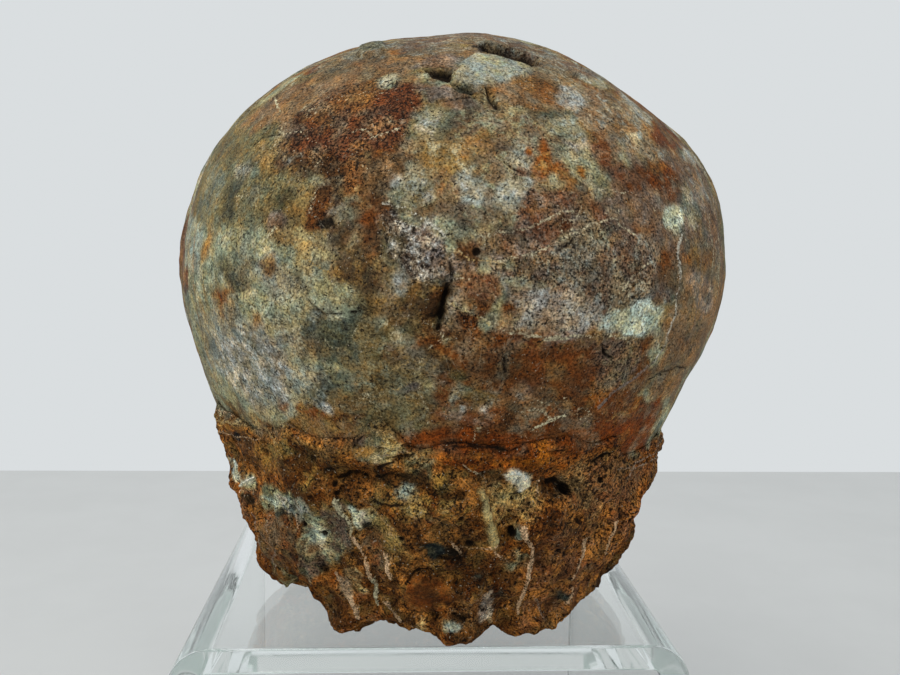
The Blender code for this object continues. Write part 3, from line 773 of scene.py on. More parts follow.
    (BROWN, RED_BROWN, 0.3, 1.2, ((364, 186), (386, 182), (396, 196), (390, 212), (366, 208))),
    (BROWN, ROSE, 0.35, 1.2, ((460, 250), (486, 250), (490, 264), (474, 272), (460, 264))),
    # lower left: paler grey, and the ochre skirt over the rock
    (ASH, PALE, 0.4, 4.0, ((196, 320), (240, 316), (290, 340), (310, 380), (290, 412), (250, 400),
     (214, 372))),
    (LICHEN, CREAM, 0.4, 2.4, ((228, 362), (262, 356), (290, 384), (270, 402), (240, 392))),
    (LICHEN, CREAM, 0.4, 2.4, ((184, 214), (196, 208), (204, 236), (198, 268), (186, 262))),
    (ASH, PALE, 0.4, 2.0, oval(272, 282, 16, 18)),
    (OCHRE, CLAY, 0.35, 1.4, ((220, 397), (250, 412), (282, 420), (300, 404), (330, 400), (356, 412),
     (352, 446), (300, 446), (262, 436), (236, 416))),
    (TOFFEE, BROWN, 0.4, 1.2, ((236, 408), (262, 416), (290, 428), (340, 430), (400, 436), (400, 470),
     (300, 470), (250, 440), (226, 420))),
    (COPPER, OCHRE, 0.35, 1.4, oval(310, 410, 16, 9, 10)),
    (COPPER, OCHRE, 0.35, 1.4, oval(284, 404, 8, 6)),
    (BROWN, OCHRE, 0.35, 1.6, oval(352, 412, 16, 6)),
    (SLATE, BLUE_GREY, 0.35, 1.2, oval(246, 268, 5, 12, 35)),
    (SLATE, BLUE_GREY, 0.35, 1.2, oval(238, 284, 7, 7)),
    (BLUE_GREY, SLATE, 0.35, 1.2, oval(224, 266, 4, 8)),
    (SLATE, LODEN, 0.35, 1.6, oval(232, 196, 6, 14, 20)),
    (CLAY, HONEY, 0.4, 1.6, oval(256, 330, 6, 16, -8)),
    (CLAY, HONEY, 0.4, 1.4, oval(268, 274, 5, 9, 10)),
    (SAND, STRAW, 0.4, 1.2, ((268, 224), (280, 224), (300, 236), (324, 250), (350, 264), (350, 271),
     (318, 261), (288, 246))),
    (MAUVE, ROSE, 0.35, 1.4, oval(279, 221, 9, 6)),
    (SLATE, ASH, 0.4, 1.4, oval(322, 396, 10, 12, -20)),
    (BONE, ASH, 0.4, 0.8, oval(330, 408, 5, 4)),
    # under the flaky band, so that its colour carries over the rim
    (FLAKY, COPPER, 0.35, 1.2, ((402, 434), (470, 430), (560, 431), (610, 424), (640, 412), (660, 400),
     (660, 470), (400, 470))),
    (ASH, BONE, 0.4, 3.0, ((216, 336), (262, 332), (300, 370), (292, 404), (256, 400), (226, 380))),
    (UMBER, MAUVE, 0.35, 2.0, ((326, 214), (352, 212), (368, 240), (360, 256), (334, 246))),
    (UMBER, OCHRE, 0.35, 2.0, ((330, 262), (362, 262), (386, 276), (384, 300), (346, 292))),
    (CHALK, ROSE, 0.4, 1.6, ((520, 306), (560, 304), (604, 308), (606, 322), (566, 330), (524, 326))),
    (ROSE, CHALK, 0.4, 1.6, ((500, 286), (528, 292), (560, 298), (558, 306), (520, 306), (500, 300))),
    (BROWN, PEAT, 0.35, 2.0, ((296, 158), (330, 150), (346, 168), (330, 186), (300, 182))),
    (BROWN, RUST, 0.35, 2.4, ((500, 400), (560, 396), (600, 396), (590, 424), (540, 434), (500, 426))),
    (UMBER, OCHRE, 0.35, 2.0, ((390, 346), (430, 350), (438, 368), (410, 376), (388, 364))),
    (BROWN, RUST, 0.35, 2.0, ((486, 344), (520, 342), (530, 364), (516, 384), (490, 372))),
    (ASH, CHALK, 0.4, 1.4, ((612, 84), (640, 92), (660, 112), (648, 122), (626, 106))),
    (MAUVE, ASH, 0.35, 2.4, ((384, 46), (430, 34), (500, 34), (560, 48), (604, 74), (590, 78), (548, 60),
     (500, 44), (440, 44), (400, 54))),
    (MAUVE, ROSE, 0.4, 1.4, ((410, 60), (452, 52), (462, 60), (452, 68), (424, 66))),
    (MAUVE, ROSE, 0.4, 1.4, ((422, 84), (448, 84), (470, 94), (480, 108), (450, 108), (426, 104))),
    (STONE, CHALK, 0.35, 1.6, ((412, 118), (426, 104), (440, 112), (440, 134), (422, 140), (406, 136))),
    (BLUE_GREY, ASH, 0.4, 1.4, ((388, 202), (404, 182), (416, 168), (424, 180), (420, 200), (404, 212))),
    (STONE, ASH, 0.35, 1.4, ((540, 116), (572, 120), (588, 134), (586, 150), (566, 146), (544, 132))),
    (CLAY, OCHRE, 0.4, 1.6, ((446, 168), (456, 190), (452, 200), (438, 190), (436, 170))),
    (ROSE, BUFF, 0.35, 2.0, ((684, 268), (704, 262), (716, 290), (712, 312), (694, 306), (684, 288))),
    (ROSE, ASH, 0.4, 1.8, ((684, 178), (700, 176), (710, 200), (706, 216), (690, 210))),
    (COPPER, SAND, 0.35, 1.6, ((496, 312), (512, 310), (522, 324), (512, 338), (498, 332))),
    (RED_BROWN, CLAY, 0.45, 1.6, ((364, 122), (384, 118), (396, 132), (384, 146), (366, 142))),
    (RUST, COPPER, 0.35, 1.6, ((518, 412), (538, 404), (558, 412), (554, 432), (528, 436))),
    (SAND, GREY, 0.4, 1.6, ((236, 410), (256, 410), (266, 424), (252, 434), (238, 428))),
    (TAN, OCHRE, 0.4, 1.4, ((266, 440), (286, 438), (298, 452), (286, 464), (270, 458))),
)

# What stays clear of the mottling around it, in the same terms.
EGG_STONES = (
    # The crown's groove and its three hollows are painted dark as shade.
    (HOLLOW_SHADE, PEAT, 0.3, 0.5, ((475, 46), (485, 42), (512, 47), (538, 57), (540, 65), (528, 66), (504, 58),
     (484, 52)), 0.4, 0.0),
    (MOSS, OCHRE, 0.45, 0.4, ((484, 50), (504, 54), (526, 62), (524, 65), (504, 58), (486, 53))),
    (HOLLOW_SHADE, PEAT, 0.3, 0.5, ((426, 68), (450, 70), (451, 77), (446, 81), (432, 76)), 0.4, 0.0),
    (HOLLOW_SHADE, PEAT, 0.3, 0.5, ((450, 84), (462, 86), (476, 89), (471, 94), (456, 92)), 0.4, 0.0),
    (HOLLOW_SHADE, PEAT, 0.3, 0.4, ((485, 88), (491, 92), (494, 101), (500, 110), (493, 106), (488, 98))),
    (ASH, GREY, 0.35, 0.7, ((452, 83), (460, 67), (474, 55), (500, 59), (528, 68), (526, 75), (506, 81),
     (480, 88)), 0.1, 0.1),
    (STONE, SLATE, 0.5, 0.6, ((358, 53), (366, 46), (382, 44), (384, 49), (372, 53)), 0.4, 0.3),
    (ASH, LICHEN, 0.4, 0.8, ((379, 84), (385, 77), (393, 73), (400, 74), (396, 80), (388, 84), (382, 88))),
    (MINT, MINT_PALE, 0.45, 1.0, ((610, 320), (630, 305), (648, 298), (660, 306), (654, 332), (640, 344),
     (624, 334)), 0.2, 0.3),
    (MINT, MINT_PALE, 0.4, 0.8, oval(672, 217, 8, 7)),
    (MAUVE, LILAC, 0.5, 1.4, ((428, 254), (442, 250), (454, 262), (446, 276), (430, 272)), 0.5, 0.3),
    (ASH, CHALK, 0.4, 1.4, oval(466, 176, 10, 8)),
    (ASH, CHALK, 0.4, 1.4, oval(510, 192, 10, 13, 20)),
    (ASH, CHALK, 0.4, 1.2, oval(470, 200, 12, 6, 10)),
    (GREY, ASH, 0.4, 1.2, oval(450, 228, 12, 7)),
    (AMBER, HONEY, 0.4, 0.8, ((538, 150), (552, 152), (554, 172), (546, 178), (538, 166))),
    (AMBER, OCHRE, 0.4, 0.8, oval(528, 153, 5, 5)),
    (BROWN, RUST, 0.35, 0.8, ((308, 204), (318, 188), (328, 188), (326, 210), (316, 228), (306, 228)), 0.4,
     0.1),
    (UMBER, CLAY, 0.4, 1.2, ((364, 170), (378, 152), (410, 158), (398, 178), (384, 198), (370, 190)), 0.3,
     0.2),
    # A hollow by the pits, painted dark as shade.
    (HOLLOW_SHADE, SLATE, 0.35, 0.6, ((318, 224), (332, 218), (336, 224), (328, 232), (320, 232))),
    (PEAT, BROWN, 0.35, 1.0, ((430, 292), (446, 288), (444, 304), (438, 316), (426, 316))),
    (SLATE, ASH, 0.4, 0.7, ((307, 309), (318, 313), (318, 330), (308, 332))),
    (LODEN, SLATE, 0.4, 1.0, ((318, 316), (352, 315), (350, 340), (330, 350), (316, 336))),
    (RUST, COPPER, 0.4, 1.6, ((460, 314), (474, 308), (490, 316), (488, 334), (470, 338), (460, 330)), 0.6,
     0.3),
)

EGG_FORM_OUTLINES = (                  # rise, softness, outline
    (0.7, 0.7, ((452, 84), (460, 66), (474, 54), (500, 58), (530, 68), (528, 76), (506, 82), (480, 90))),
    (-2.4, 0.9, ((476, 45), (486, 42), (512, 47), (538, 57), (540, 64), (528, 65), (504, 57), (484, 51))),
    (0.8, 1.1, ((358, 55), (361, 48), (372, 44), (384, 44), (386, 50), (374, 57))),
    (-1.8, 0.5, ((425, 68), (450, 70), (452, 77), (447, 82), (432, 76))),
    (-1.6, 0.5, ((449, 84), (462, 86), (476, 89), (472, 95), (456, 92))),
    (-1.2, 0.5, ((484, 88), (491, 91), (494, 101), (501, 111), (494, 107), (488, 98))),
    (0.5, 0.9, ((420, 92), (446, 84), (474, 92), (470, 102), (440, 104), (424, 102))),
    (0.45, 1.0, ((384, 206), (410, 216), (438, 238), (456, 266), (446, 286), (412, 282), (390, 262),
     (384, 236))),
    (0.35, 0.8, ((362, 170), (376, 150), (412, 157), (400, 178), (385, 202), (368, 192))),
    (0.4, 1.0, ((484, 264), (520, 254), (560, 240), (602, 222), (640, 238), (656, 262), (652, 292),
     (620, 312), (560, 302), (520, 292), (492, 284))),
    (-0.5, 1.5, ((472, 244), (500, 228), (540, 236), (575, 214), (575, 238), (545, 250), (500, 258))),
    (-0.6, 1.2, oval(445, 312, 8, 26, 8)),
)

EGG_VEINS = (                          # width, rise, colour, pixels
    (0.45, 0.12, CREAM, ((352, 132), (368, 130), (372, 138), (386, 134), (400, 128))),
    (0.5, 0.15, CHALK, ((384, 204), (398, 207), (416, 214), (430, 222), (446, 236))),
    (0.35, 0.1, CREAM, ((386, 204), (398, 188), (416, 165))),
    (0.4, 0.15, CREAM, ((480, 237), (505, 232), (530, 227), (545, 220), (560, 214), (575, 210))),
    (0.35, 0.15, CREAM, ((498, 261), (520, 256), (545, 250), (566, 238), (585, 228), (602, 221),
     (612, 219))),
    (0.5, 0.2, CREAM, ((513, 331), (528, 335), (542, 339), (560, 341), (578, 336), (600, 336), (626, 337))),
    (0.45, 0.15, CREAM, ((455, 304), (470, 312), (486, 320), (499, 326))),
    (0.55, 0.3, CHALK, ((681, 234), (677, 247), (676, 258), (680, 270), (680, 286), (675, 300), (674, 318),
     (668, 330), (664, 345), (652, 362))),
    (0.9, 0.3, LILAC, ((664, 345), (656, 358), (645, 368), (630, 380), (612, 392), (598, 406))),
    (0.45, 0.15, CREAM, ((590, 176), (593, 185), (602, 190), (614, 192), (625, 193))),
    (0.4, 0.12, CREAM, ((618, 210), (615, 221), (624, 228), (634, 236))),
    (0.4, 0.12, CREAM, ((618, 292), (632, 278), (648, 261))),
    (0.5, 0.1, PALE, ((260, 246), (266, 238), (276, 226))),
    (0.4, 0.0, OCHRE, ((288, 240), (304, 256), (326, 272), (346, 284))),
    (0.35, 0.1, CREAM, ((310, 214), (318, 190), (326, 183))),
    (0.5, 0.1, PALE, ((275, 98), (280, 112))),
    (0.4, 0.1, SAND, ((498, 261), (470, 262), (456, 250))),
    (0.4, 0.1, CREAM, ((520, 412), (538, 410), (548, 416), (556, 424))),
    (0.5, 0.1, LILAC, ((690, 225), (700, 240), (702, 262), (698, 290), (694, 320), (684, 352))),
    (0.4, 0.1, CREAM, ((708, 222), (713, 250), (711, 285), (705, 315))),
    (0.35, 0.1, CREAM, ((718, 235), (719, 262), (716, 300))),
    (0.5, 0.1, CLAY, ((198, 215), (194, 250), (196, 300), (206, 350), (220, 392))),
    (0.4, 0.1, OCHRE, ((203, 280), (208, 310), (216, 345), (228, 380))),
    (0.35, 0.15, STRAW, ((453, 304), (466, 311), (480, 318), (491, 325))),
    (0.6, 0.2, CREAM, ((509, 334), (519, 331), (531, 334), (545, 340), (560, 338))),
    (0.3, 0.1, SAND, ((387, 372), (398, 366), (410, 361))),
    (0.3, 0.1, SAND, ((392, 389), (410, 382), (428, 376))),
    (0.3, 0.1, CREAM, ((527, 403), (540, 402), (550, 405), (555, 409))),
    (0.6, 0.2, PALE, ((531, 430), (544, 424), (556, 418), (566, 414))),
)

EGG_CRACKS = (                         # width, depth, pixels
    (0.5, 1.0, ((446, 282), (445, 292), (442, 300), (444, 310), (440, 319), (436, 329))),
    (0.35, 0.5, ((444, 312), (440, 316), (430, 318))),
    (0.5, 0.5, ((425, 68), (438, 69), (451, 71), (449, 82), (458, 87), (472, 90))),
    (0.35, 0.5, ((357, 55), (364, 58), (376, 57), (386, 51))),
    (0.5, 0.5, ((485, 87), (490, 95), (494, 101), (500, 110))),
    (0.5, 0.5, ((505, 162), (511, 167), (518, 172))),
    (0.4, 0.4, ((447, 262), (452, 272), (450, 282))),
    (0.5, 0.5, ((505, 358), (506, 371))),
    (0.6, 0.6, ((602, 346), (605, 353), (611, 357))),
    (0.4, 0.4, ((444, 102), (458, 100), (474, 97))),
    (0.5, 0.5, ((424, 66), (432, 65), (446, 67))),
    (0.5, 0.4, ((252, 146), (262, 137), (278, 134))),
    (0.5, 0.5, ((574, 238), (566, 246), (556, 252))),
    (0.5, 0.5, ((650, 380), (664, 372), (678, 368), (688, 368))),
    (0.45, 0.4, ((308, 300), (324, 314), (340, 315), (356, 311))),
    (0.5, 0.5, ((182, 268), (183, 280))),
    (0.45, 0.3, ((632, 170), (640, 174))),
    (1.0, 1.2, ((445, 294), (443, 302), (441, 310), (439, 315))),
    (0.35, 0.4, ((430, 318), (424, 319), (416, 318))),
    (0.3, 0.4, ((507, 371), (506, 382), (505, 392), (508, 398))),
)

EGG_PITS = (                           # radius, depth, pixel
    (1.3, 1.3, (476, 253)), (0.7, 0.7, (437, 328)), (0.9, 0.7, (605, 351)), (0.5, 0.5, (275, 315)),
    (0.6, 0.6, (324, 213)), (0.5, 0.5, (321, 227)), (0.5, 0.6, (370, 124)), (0.6, 0.6, (386, 128)),
    (0.5, 0.5, (376, 78)), (0.6, 0.6, (368, 84)), (0.5, 0.5, (392, 100)), (0.5, 0.5, (402, 116)),
    (0.4, 0.4, (550, 298)), (0.4, 0.4, (562, 304)), (0.4, 0.5, (309, 331)),
)

# Tones that noise lays down all over the egg: colour, fleck, share, lump size, threshold, seed.
EGG_TONES = (
    (GREY, PALE, 0.34, 34.0, 0.05, 41),
    (OLIVE, OCHRE, 0.3, 22.0, 0.25, 42),
    (BRICK, BRICK_DARK, 0.34, 26.0, 0.38, 43),
    (BRICK, OCHRE, 0.34, 20.0, 0.36, 44),
    (MAUVE, LILAC, 0.36, 18.0, 0.42, 45),
    (BLUE_GREY, SLATE, 0.25, 9.0, 0.5, 46),
    (ORANGE, OCHRE, 0.35, 7.0, 0.6, 47),
    (ASH, CHALK, 0.4, 8.0, 0.6, 48),
)
# Small cloudy tones laid over the patches: colour, lump size, threshold, cover, seed.
EGG_MOTTLES = (
    (HONEY, 6.0, 0.42, 0.3, 51),
    (UMBER, 4.5, 0.4, 0.34, 52),
    (CREAM, 5.0, 0.42, 0.3, 53),
    (SLATE, 4.0, 0.46, 0.36, 54),
    (RED_BROWN, 8.0, 0.45, 0.25, 55),
    (BLUE_GREY, 6.5, 0.42, 0.3, 56),
)
TONE_OCTAVES = 4
TONE_EDGE = 0.16
MOTTLE_OCTAVES = 3
MOTTLE_EDGE = 0.3

EGG_BASE_SUBDIVISIONS = 6
EGG_FINE_ABOVE = -42.0                 # elevation in degrees above which the faces are split once
EGG_FINEST_SIDE = (-3.0, 12.0)         # azimuth and elevation round which they are split once more
EGG_FINEST_REACH = -0.06               # cosine of how far round that goes
EGG_SEEN_SIDE = (-3.0, 10.0)           # azimuth and elevation that the camera looks at
HAIR_VEIN_NOISE = (24.0, 61, 3)
HAIR_VEIN_WIDTH = 0.05
EGG_GRAIN = (0.11, (1.9, 71, 2))       # rise, noise; pores strengthen this one
EGG_WAVES = (0.22, (7.0, 72, 3))
PORE_GAIN = 1.6
LEAST_GRAIN = 0.2
GRAIN_SHADE = 1.6
SHADE_LIMIT = 0.5


def fine_sphere():
    """An icosphere with its smallest faces where the egg shows most."""
    sphere = bmesh.new()
    bmesh.ops.create_icosphere(sphere, subdivisions=EGG_BASE_SUBDIVISIONS, radius=1.0)
    lowest = math.sin(math.radians(EGG_FINE_ABOVE))
    front = Vector(direction(*EGG_FINEST_SIDE))

    def refine(test):
        chosen = [edge for edge in sphere.edges if test((edge.verts[0].co + edge.verts[1].co).normalized())]
        bmesh.ops.subdivide_edges(sphere, edges=chosen, cuts=1, use_grid_fill=True)

    refine(lambda middle: middle.z > lowest)
    refine(lambda middle: middle.z > lowest and middle.dot(front) > EGG_FINEST_REACH)
    bmesh.ops.triangulate(sphere, faces=sphere.faces[:])
    directions = np.array([vertex.co.normalized() for vertex in sphere.verts])
    faces = [[vertex.index for vertex in face.verts] for face in sphere.faces]
    sphere.free()
    return directions, faces


def tree_of(points, faces):
    return BVHTree.FromPolygons([Vector(point) for point in points], faces)


def paint_tones(canvas, tones):
    """Tones over the whole surface, each where its noise is above a threshold."""
    everything = np.arange(len(canvas.points))
    for body, fleck, share, size, threshold, seed in tones:
        field = soft_noise(canvas.points, size, seed, TONE_OCTAVES)
        canvas.blend(everything, smooth((field - threshold) / TONE_EDGE + 0.5), body, fleck, share)


def paint_patches(canvas, chart, patches):
    for body, fleck, share, softness, outline, *extra in patches:
        canvas.patch(chart.line(outline), softness, body, fleck, share, *extra)


def paint_features(canvas, chart, patches, forms, veins, cracks, pits):
    paint_patches(canvas, chart, patches)
    for rise, softness, outline in forms:
        canvas.form(chart.line(outline), softness, rise)
    for width, rise, colour, pixels in veins:
        canvas.add_vein(chart.line(pixels), width, rise, colour)
    for width, depth, pixels in cracks:
        canvas.add_crack(chart.line(pixels), width, depth)
    for radius, depth, pixel in pits:
        canvas.pit(chart.spot(pixel), radius, depth)


def paint_mottles(canvas, mottles):
    """Small cloudy tones over everything else, each only partly covering."""
    for colour, size, threshold, cover, seed in mottles:
        field = soft_noise(canvas.points, size, seed, MOTTLE_OCTAVES)
        weight = smooth((field - threshold) / MOTTLE_EDGE + 0.5) * cover
        canvas.body += (to_linear(colour) - canvas.body) * weight[:, None]


def hair_veins(canvas, amount):
    """Thin wandering veins, widest where amount is 1."""
    field = np.abs(soft_noise(canvas.points, *HAIR_VEIN_NOISE))
    edge = (amount * HAIR_VEIN_WIDTH - field) * HAIR_VEIN_NOISE[0] * 0.5
    canvas.vein = np.maximum(edge, canvas.vein)


def build_egg():
    directions, faces = fine_sphere()
    points = egg_surface(directions)
    canvas = Canvas(points, egg_chart_points(points))
    paint_tones(canvas, EGG_TONES)
    chart = Chart(tree_of(points, faces), egg_chart_points, EGG_MIDDLE_PIXEL)
    hidden = np.clip((directions @ -direction(*EGG_SEEN_SIDE)) * 3.0 + 0.4, 0.0, 1.0)
    hair_veins(canvas, hidden)
    paint_features(canvas, chart, EGG_PATCHES, EGG_FORM_OUTLINES, EGG_VEINS, EGG_CRACKS, EGG_PITS)
    paint_mottles(canvas, EGG_MOTTLES)
    paint_patches(canvas, chart, EGG_STONES)
    rough = np.clip(canvas.pores * PORE_GAIN, LEAST_GRAIN, 1.0)
    grain = uneven(points, *EGG_GRAIN) * rough + uneven(points, *EGG_WAVES)
    canvas.rise += grain
    # Painted shade: darker where the grain dips and where cuts go deeper than half a mm.
    canvas.cavity = np.clip(-grain * GRAIN_SHADE, 0.0, SHADE_LIMIT)
    canvas.cavity += np.clip(-canvas.rise - 0.5, 0.0, SHADE_LIMIT)
    points = points + directions * canvas.rise[:, None]
    material = stone_material("egg_stone", EGG_LOOK)
    finish_piece("egg_shell", points, faces, canvas, material, "fossil_egg")
    return points, canvas


# ---- The rock ----------------------------------------------------------------------------------

# The rock's tables have the same columns as the egg's.
ROCK_PATCHES = (
    (EARTH, EARTH_LIGHT, 0.34, 5.0, ((222, 410), (300, 432), (400, 440), (420, 470), (340, 520), (270, 500),
     (232, 470))),
    (BROWN, EARTH_LIGHT, 0.3, 5.0, ((330, 470), (420, 470), (500, 480), (520, 540), (470, 600), (400, 640),
     (340, 560)), 0.6),
    (EARTH, EARTH_LIGHT, 0.3, 4.0, ((540, 440), (664, 415), (660, 470), (640, 520), (600, 580), (540, 600),
     (520, 520)), 0.8, 0.2),
    (BROWN, EARTH_LIGHT, 0.3, 4.0, ((500, 560), (560, 540), (620, 540), (590, 590), (540, 640), (480, 640)),
     0.6, 0.25),
    (TOFFEE, SAND, 0.35, 1.4, ((219, 396), (250, 412), (300, 436), (350, 440), (345, 452), (290, 452),
     (262, 436), (236, 416))),
    (TOFFEE, OCHRE, 0.35, 2.0, ((226, 414), (262, 440), (300, 456), (290, 480), (250, 470), (232, 440)),
     0.4),
    (FLAKY, ORANGE, 0.3, 1.6, ((404, 438), (470, 428), (560, 430), (606, 428), (600, 446), (556, 458),
     (530, 474), (470, 470), (420, 458)), 0.45, 0.2),
    (AMBER, ORANGE, 0.4, 1.4, oval(520, 462, 44, 9, 6), 0.3, 0.3),
    (OXBLOOD, BRICK_DARK, 0.4, 1.2, oval(450, 440, 44, 6, -4), 0.6),
    (STONE, CHALK, 0.3, 1.2, ((352, 436), (380, 426), (412, 430), (420, 452), (392, 462), (360, 456)), 0.4,
     0.5),
    (SAND, PALE, 0.4, 0.7, ((382, 446), (392, 438), (410, 438), (404, 452), (392, 462))),
    (OLIVE, PALE, 0.4, 1.6, ((412, 440), (436, 432), (440, 444), (420, 458), (404, 456))),
    (COPPER, OCHRE, 0.4, 1.4, ((390, 492), (430, 498), (480, 500), (476, 520), (430, 522), (388, 512))),
    (EARTH_LIGHT, PALE, 0.35, 1.6, ((490, 488), (530, 492), (548, 504), (530, 520), (500, 520))),
    (BLUE_GREY, LICHEN, 0.4, 1.6, ((258, 494), (296, 490), (322, 502), (340, 508), (352, 530), (346, 556),
     (318, 572), (300, 556), (296, 520), (262, 508)), 0.5, 0.3),
    (STONE, LICHEN, 0.45, 1.2, oval(322, 538, 18, 22, -8), 0.5, 0.3),
    (MOSS, ROSE, 0.3, 1.4, oval(338, 516, 14, 12), 0.5, 0.3),
    (RED_BROWN, CLAY, 0.3, 2.0, ((252, 506), (290, 510), (296, 560), (280, 574), (258, 530)), 0.5, 0.2),
    (STONE, LICHEN, 0.4, 1.0, oval(372, 524, 14, 6, 20), 0.4),
    (TAN, ROSE, 0.35, 2.0, oval(385, 545, 20, 20), 0.5, 0.4),
    (CHALK, CHALK, 0.4, 0.8, ((230, 458), (238, 462), (246, 478), (242, 488), (234, 480))),
    (LICHEN, PALE, 0.3, 0.8, oval(248, 484, 8, 8)),
    (PEAT, SLATE, 0.3, 0.8, oval(246, 498, 8, 6)),
    (MINT_PALE, CHALK, 0.5, 0.7, ((498, 470), (512, 468), (528, 476), (530, 486), (518, 486), (504, 478))),
    (SAND, PALE, 0.3, 0.5, ((477, 490), (484, 488), (490, 512), (496, 540), (488, 544), (482, 520))),
    (PEAT, EARTH_DARK, 0.3, 1.0, ((436, 546), (456, 550), (472, 558), (460, 566), (436, 562))),
    (SOOT, LODEN, 0.22, 0.5, ((420, 547), (430, 542), (443, 545), (447, 555), (437, 561), (424, 558))),
    (RUST, COPPER, 0.2, 0.7, oval(432, 594, 26, 19, -4), 0.0, 0.0),
    (ASH, PALE, 0.4, 0.6, oval(516, 532, 6, 7)),
    (STONE, CHALK, 0.4, 0.7, oval(452, 624, 10, 9, 30)),
    (LODEN, PALE, 0.3, 0.8, oval(410, 494, 8, 7)),
    (MOSS, PALE, 0.35, 1.2, oval(360, 600, 12, 18, -10)),
    (RED_BROWN, CHALK, 0.4, 1.0, oval(484, 606, 8, 20)),
    (PEAT, SLATE, 0.4, 0.8, oval(587, 596, 7, 8, 30)),
    (BLUE_GREY, SLATE, 0.3, 0.8, oval(646, 412, 6, 4, -20)),
    (BRICK_DARK, EARTH_DARK, 0.3, 0.6, ((398, 500), (410, 497), (406, 509))),
    (BRICK_DARK, EARTH_DARK, 0.3, 0.6, ((420, 512), (434, 506), (440, 518), (426, 520))),
    (EARTH_DARK, EARTH_DARK, 0.3, 0.6, ((452, 508), (464, 504), (462, 516))),
    (HONEY, PALE, 0.3, 0.6, ((376, 494), (392, 490), (402, 500), (388, 506))),
    (EARTH_LIGHT, PALE, 0.3, 0.6, ((408, 514), (424, 504), (432, 512), (416, 522))),
    (OCHRE, PALE, 0.3, 0.6, ((440, 500), (456, 500), (450, 512), (440, 510))),
    (CLAY, PALE, 0.3, 0.6, ((340, 568), (352, 562), (362, 574), (358, 590), (346, 584))),
    (EARTH_DARK, BROWN, 0.35, 1.6, ((456, 634), (476, 630), (492, 640), (486, 652), (462, 652))),
    (PEAT, BROWN, 0.35, 1.6, ((462, 600), (478, 600), (484, 618), (474, 630), (460, 620))),
    (BROWN, EARTH_DARK, 0.35, 1.6, ((268, 566), (284, 562), (298, 576), (296, 598), (276, 600))),
    (BROWN, EARTH_DARK, 0.35, 3.0, ((290, 436), (345, 440), (352, 468), (344, 500), (300, 504),
     (276, 470))),
    (PEAT, BROWN, 0.4, 1.6, ((300, 440), (330, 440), (336, 470), (310, 476))),
    (BROWN, TOFFEE, 0.4, 2.0, ((226, 420), (250, 436), (262, 470), (244, 480), (232, 460))),
    (BROWN, TOFFEE, 0.35, 1.4, ((350, 480), (404, 480), (420, 494), (400, 500), (352, 496))),
    (MAUVE, RED_BROWN, 0.4, 2.0, ((255, 512), (290, 512), (296, 556), (284, 572), (262, 544))),
    (MAUVE, SLATE, 0.45, 1.2, ((326, 510), (342, 512), (352, 530), (346, 552), (332, 552), (330, 530))),
    (MAUVE, RED_BROWN, 0.4, 1.6, ((358, 538), (376, 536), (388, 552), (380, 572), (366, 560))),
    (CLAY, SAND, 0.4, 1.6, ((486, 484), (546, 488), (550, 512), (520, 522), (492, 520))),
    (RED_BROWN, BROWN, 0.35, 3.0, ((540, 540), (600, 520), (620, 500), (640, 500), (600, 570), (560, 600),
     (530, 590))),
    (CLAY, RED_BROWN, 0.35, 2.0, ((560, 470), (610, 462), (640, 470), (620, 510), (580, 520), (556, 500))),
    (BROWN, EARTH_DARK, 0.4, 2.0, ((446, 556), (500, 552), (516, 580), (500, 610), (464, 612), (450, 584))),
    (EARTH_DARK, BROWN, 0.35, 1.0, oval(480, 578, 9, 5, -10)),
    (OCHRE, TOFFEE, 0.35, 1.2, ((300, 470), (312, 468), (316, 480), (304, 484))),
    (PEAT, EARTH_DARK, 0.35, 2.0, ((380, 470), (420, 472), (430, 494), (400, 498), (376, 490))),
    (EARTH_DARK, PEAT, 0.4, 1.6, ((452, 620), (480, 622), (492, 640), (470, 652), (446, 648))),
    (RED_BROWN, MAUVE, 0.35, 2.0, ((590, 470), (632, 450), (646, 470), (630, 500), (596, 506))),
    (BROWN, RED_BROWN, 0.35, 2.0, ((330, 590), (372, 590), (388, 620), (356, 634), (326, 616))),
    (LICHEN, MAUVE, 0.5, 1.6, ((298, 524), (316, 520), (330, 530), (330, 556), (318, 568), (304, 560),
     (296, 544))),
    (MAUVE, LICHEN, 0.5, 1.4, ((304, 556), (322, 560), (328, 574), (314, 584), (304, 574))),
    (RED_BROWN, EARTH_LIGHT, 0.35, 3.0, ((520, 560), (590, 520), (636, 500), (600, 580), (560, 620),
     (520, 630))),
    (TAN, OCHRE, 0.4, 1.4, ((430, 474), (446, 474), (456, 486), (448, 498), (432, 494))),
    (SAND, CREAM, 0.4, 1.0, ((492, 488), (512, 490), (526, 496), (518, 506), (500, 504))),
    (TAN, EARTH_LIGHT, 0.4, 1.4, ((374, 494), (394, 492), (396, 504), (382, 508))),
    (TAN, SAND, 0.4, 1.2, ((404, 504), (430, 508), (436, 516), (420, 520), (404, 514))),
    (BROWN, EARTH, 0.4, 1.4, ((494, 538), (512, 534), (522, 548), (510, 558), (496, 554))),
    (PEAT, BROWN, 0.35, 1.4, ((394, 478), (412, 472), (430, 480), (420, 489), (398, 490))),
    (TAN, OCHRE, 0.4, 1.4, ((266, 444), (286, 440), (298, 452), (286, 464), (270, 460))),
)
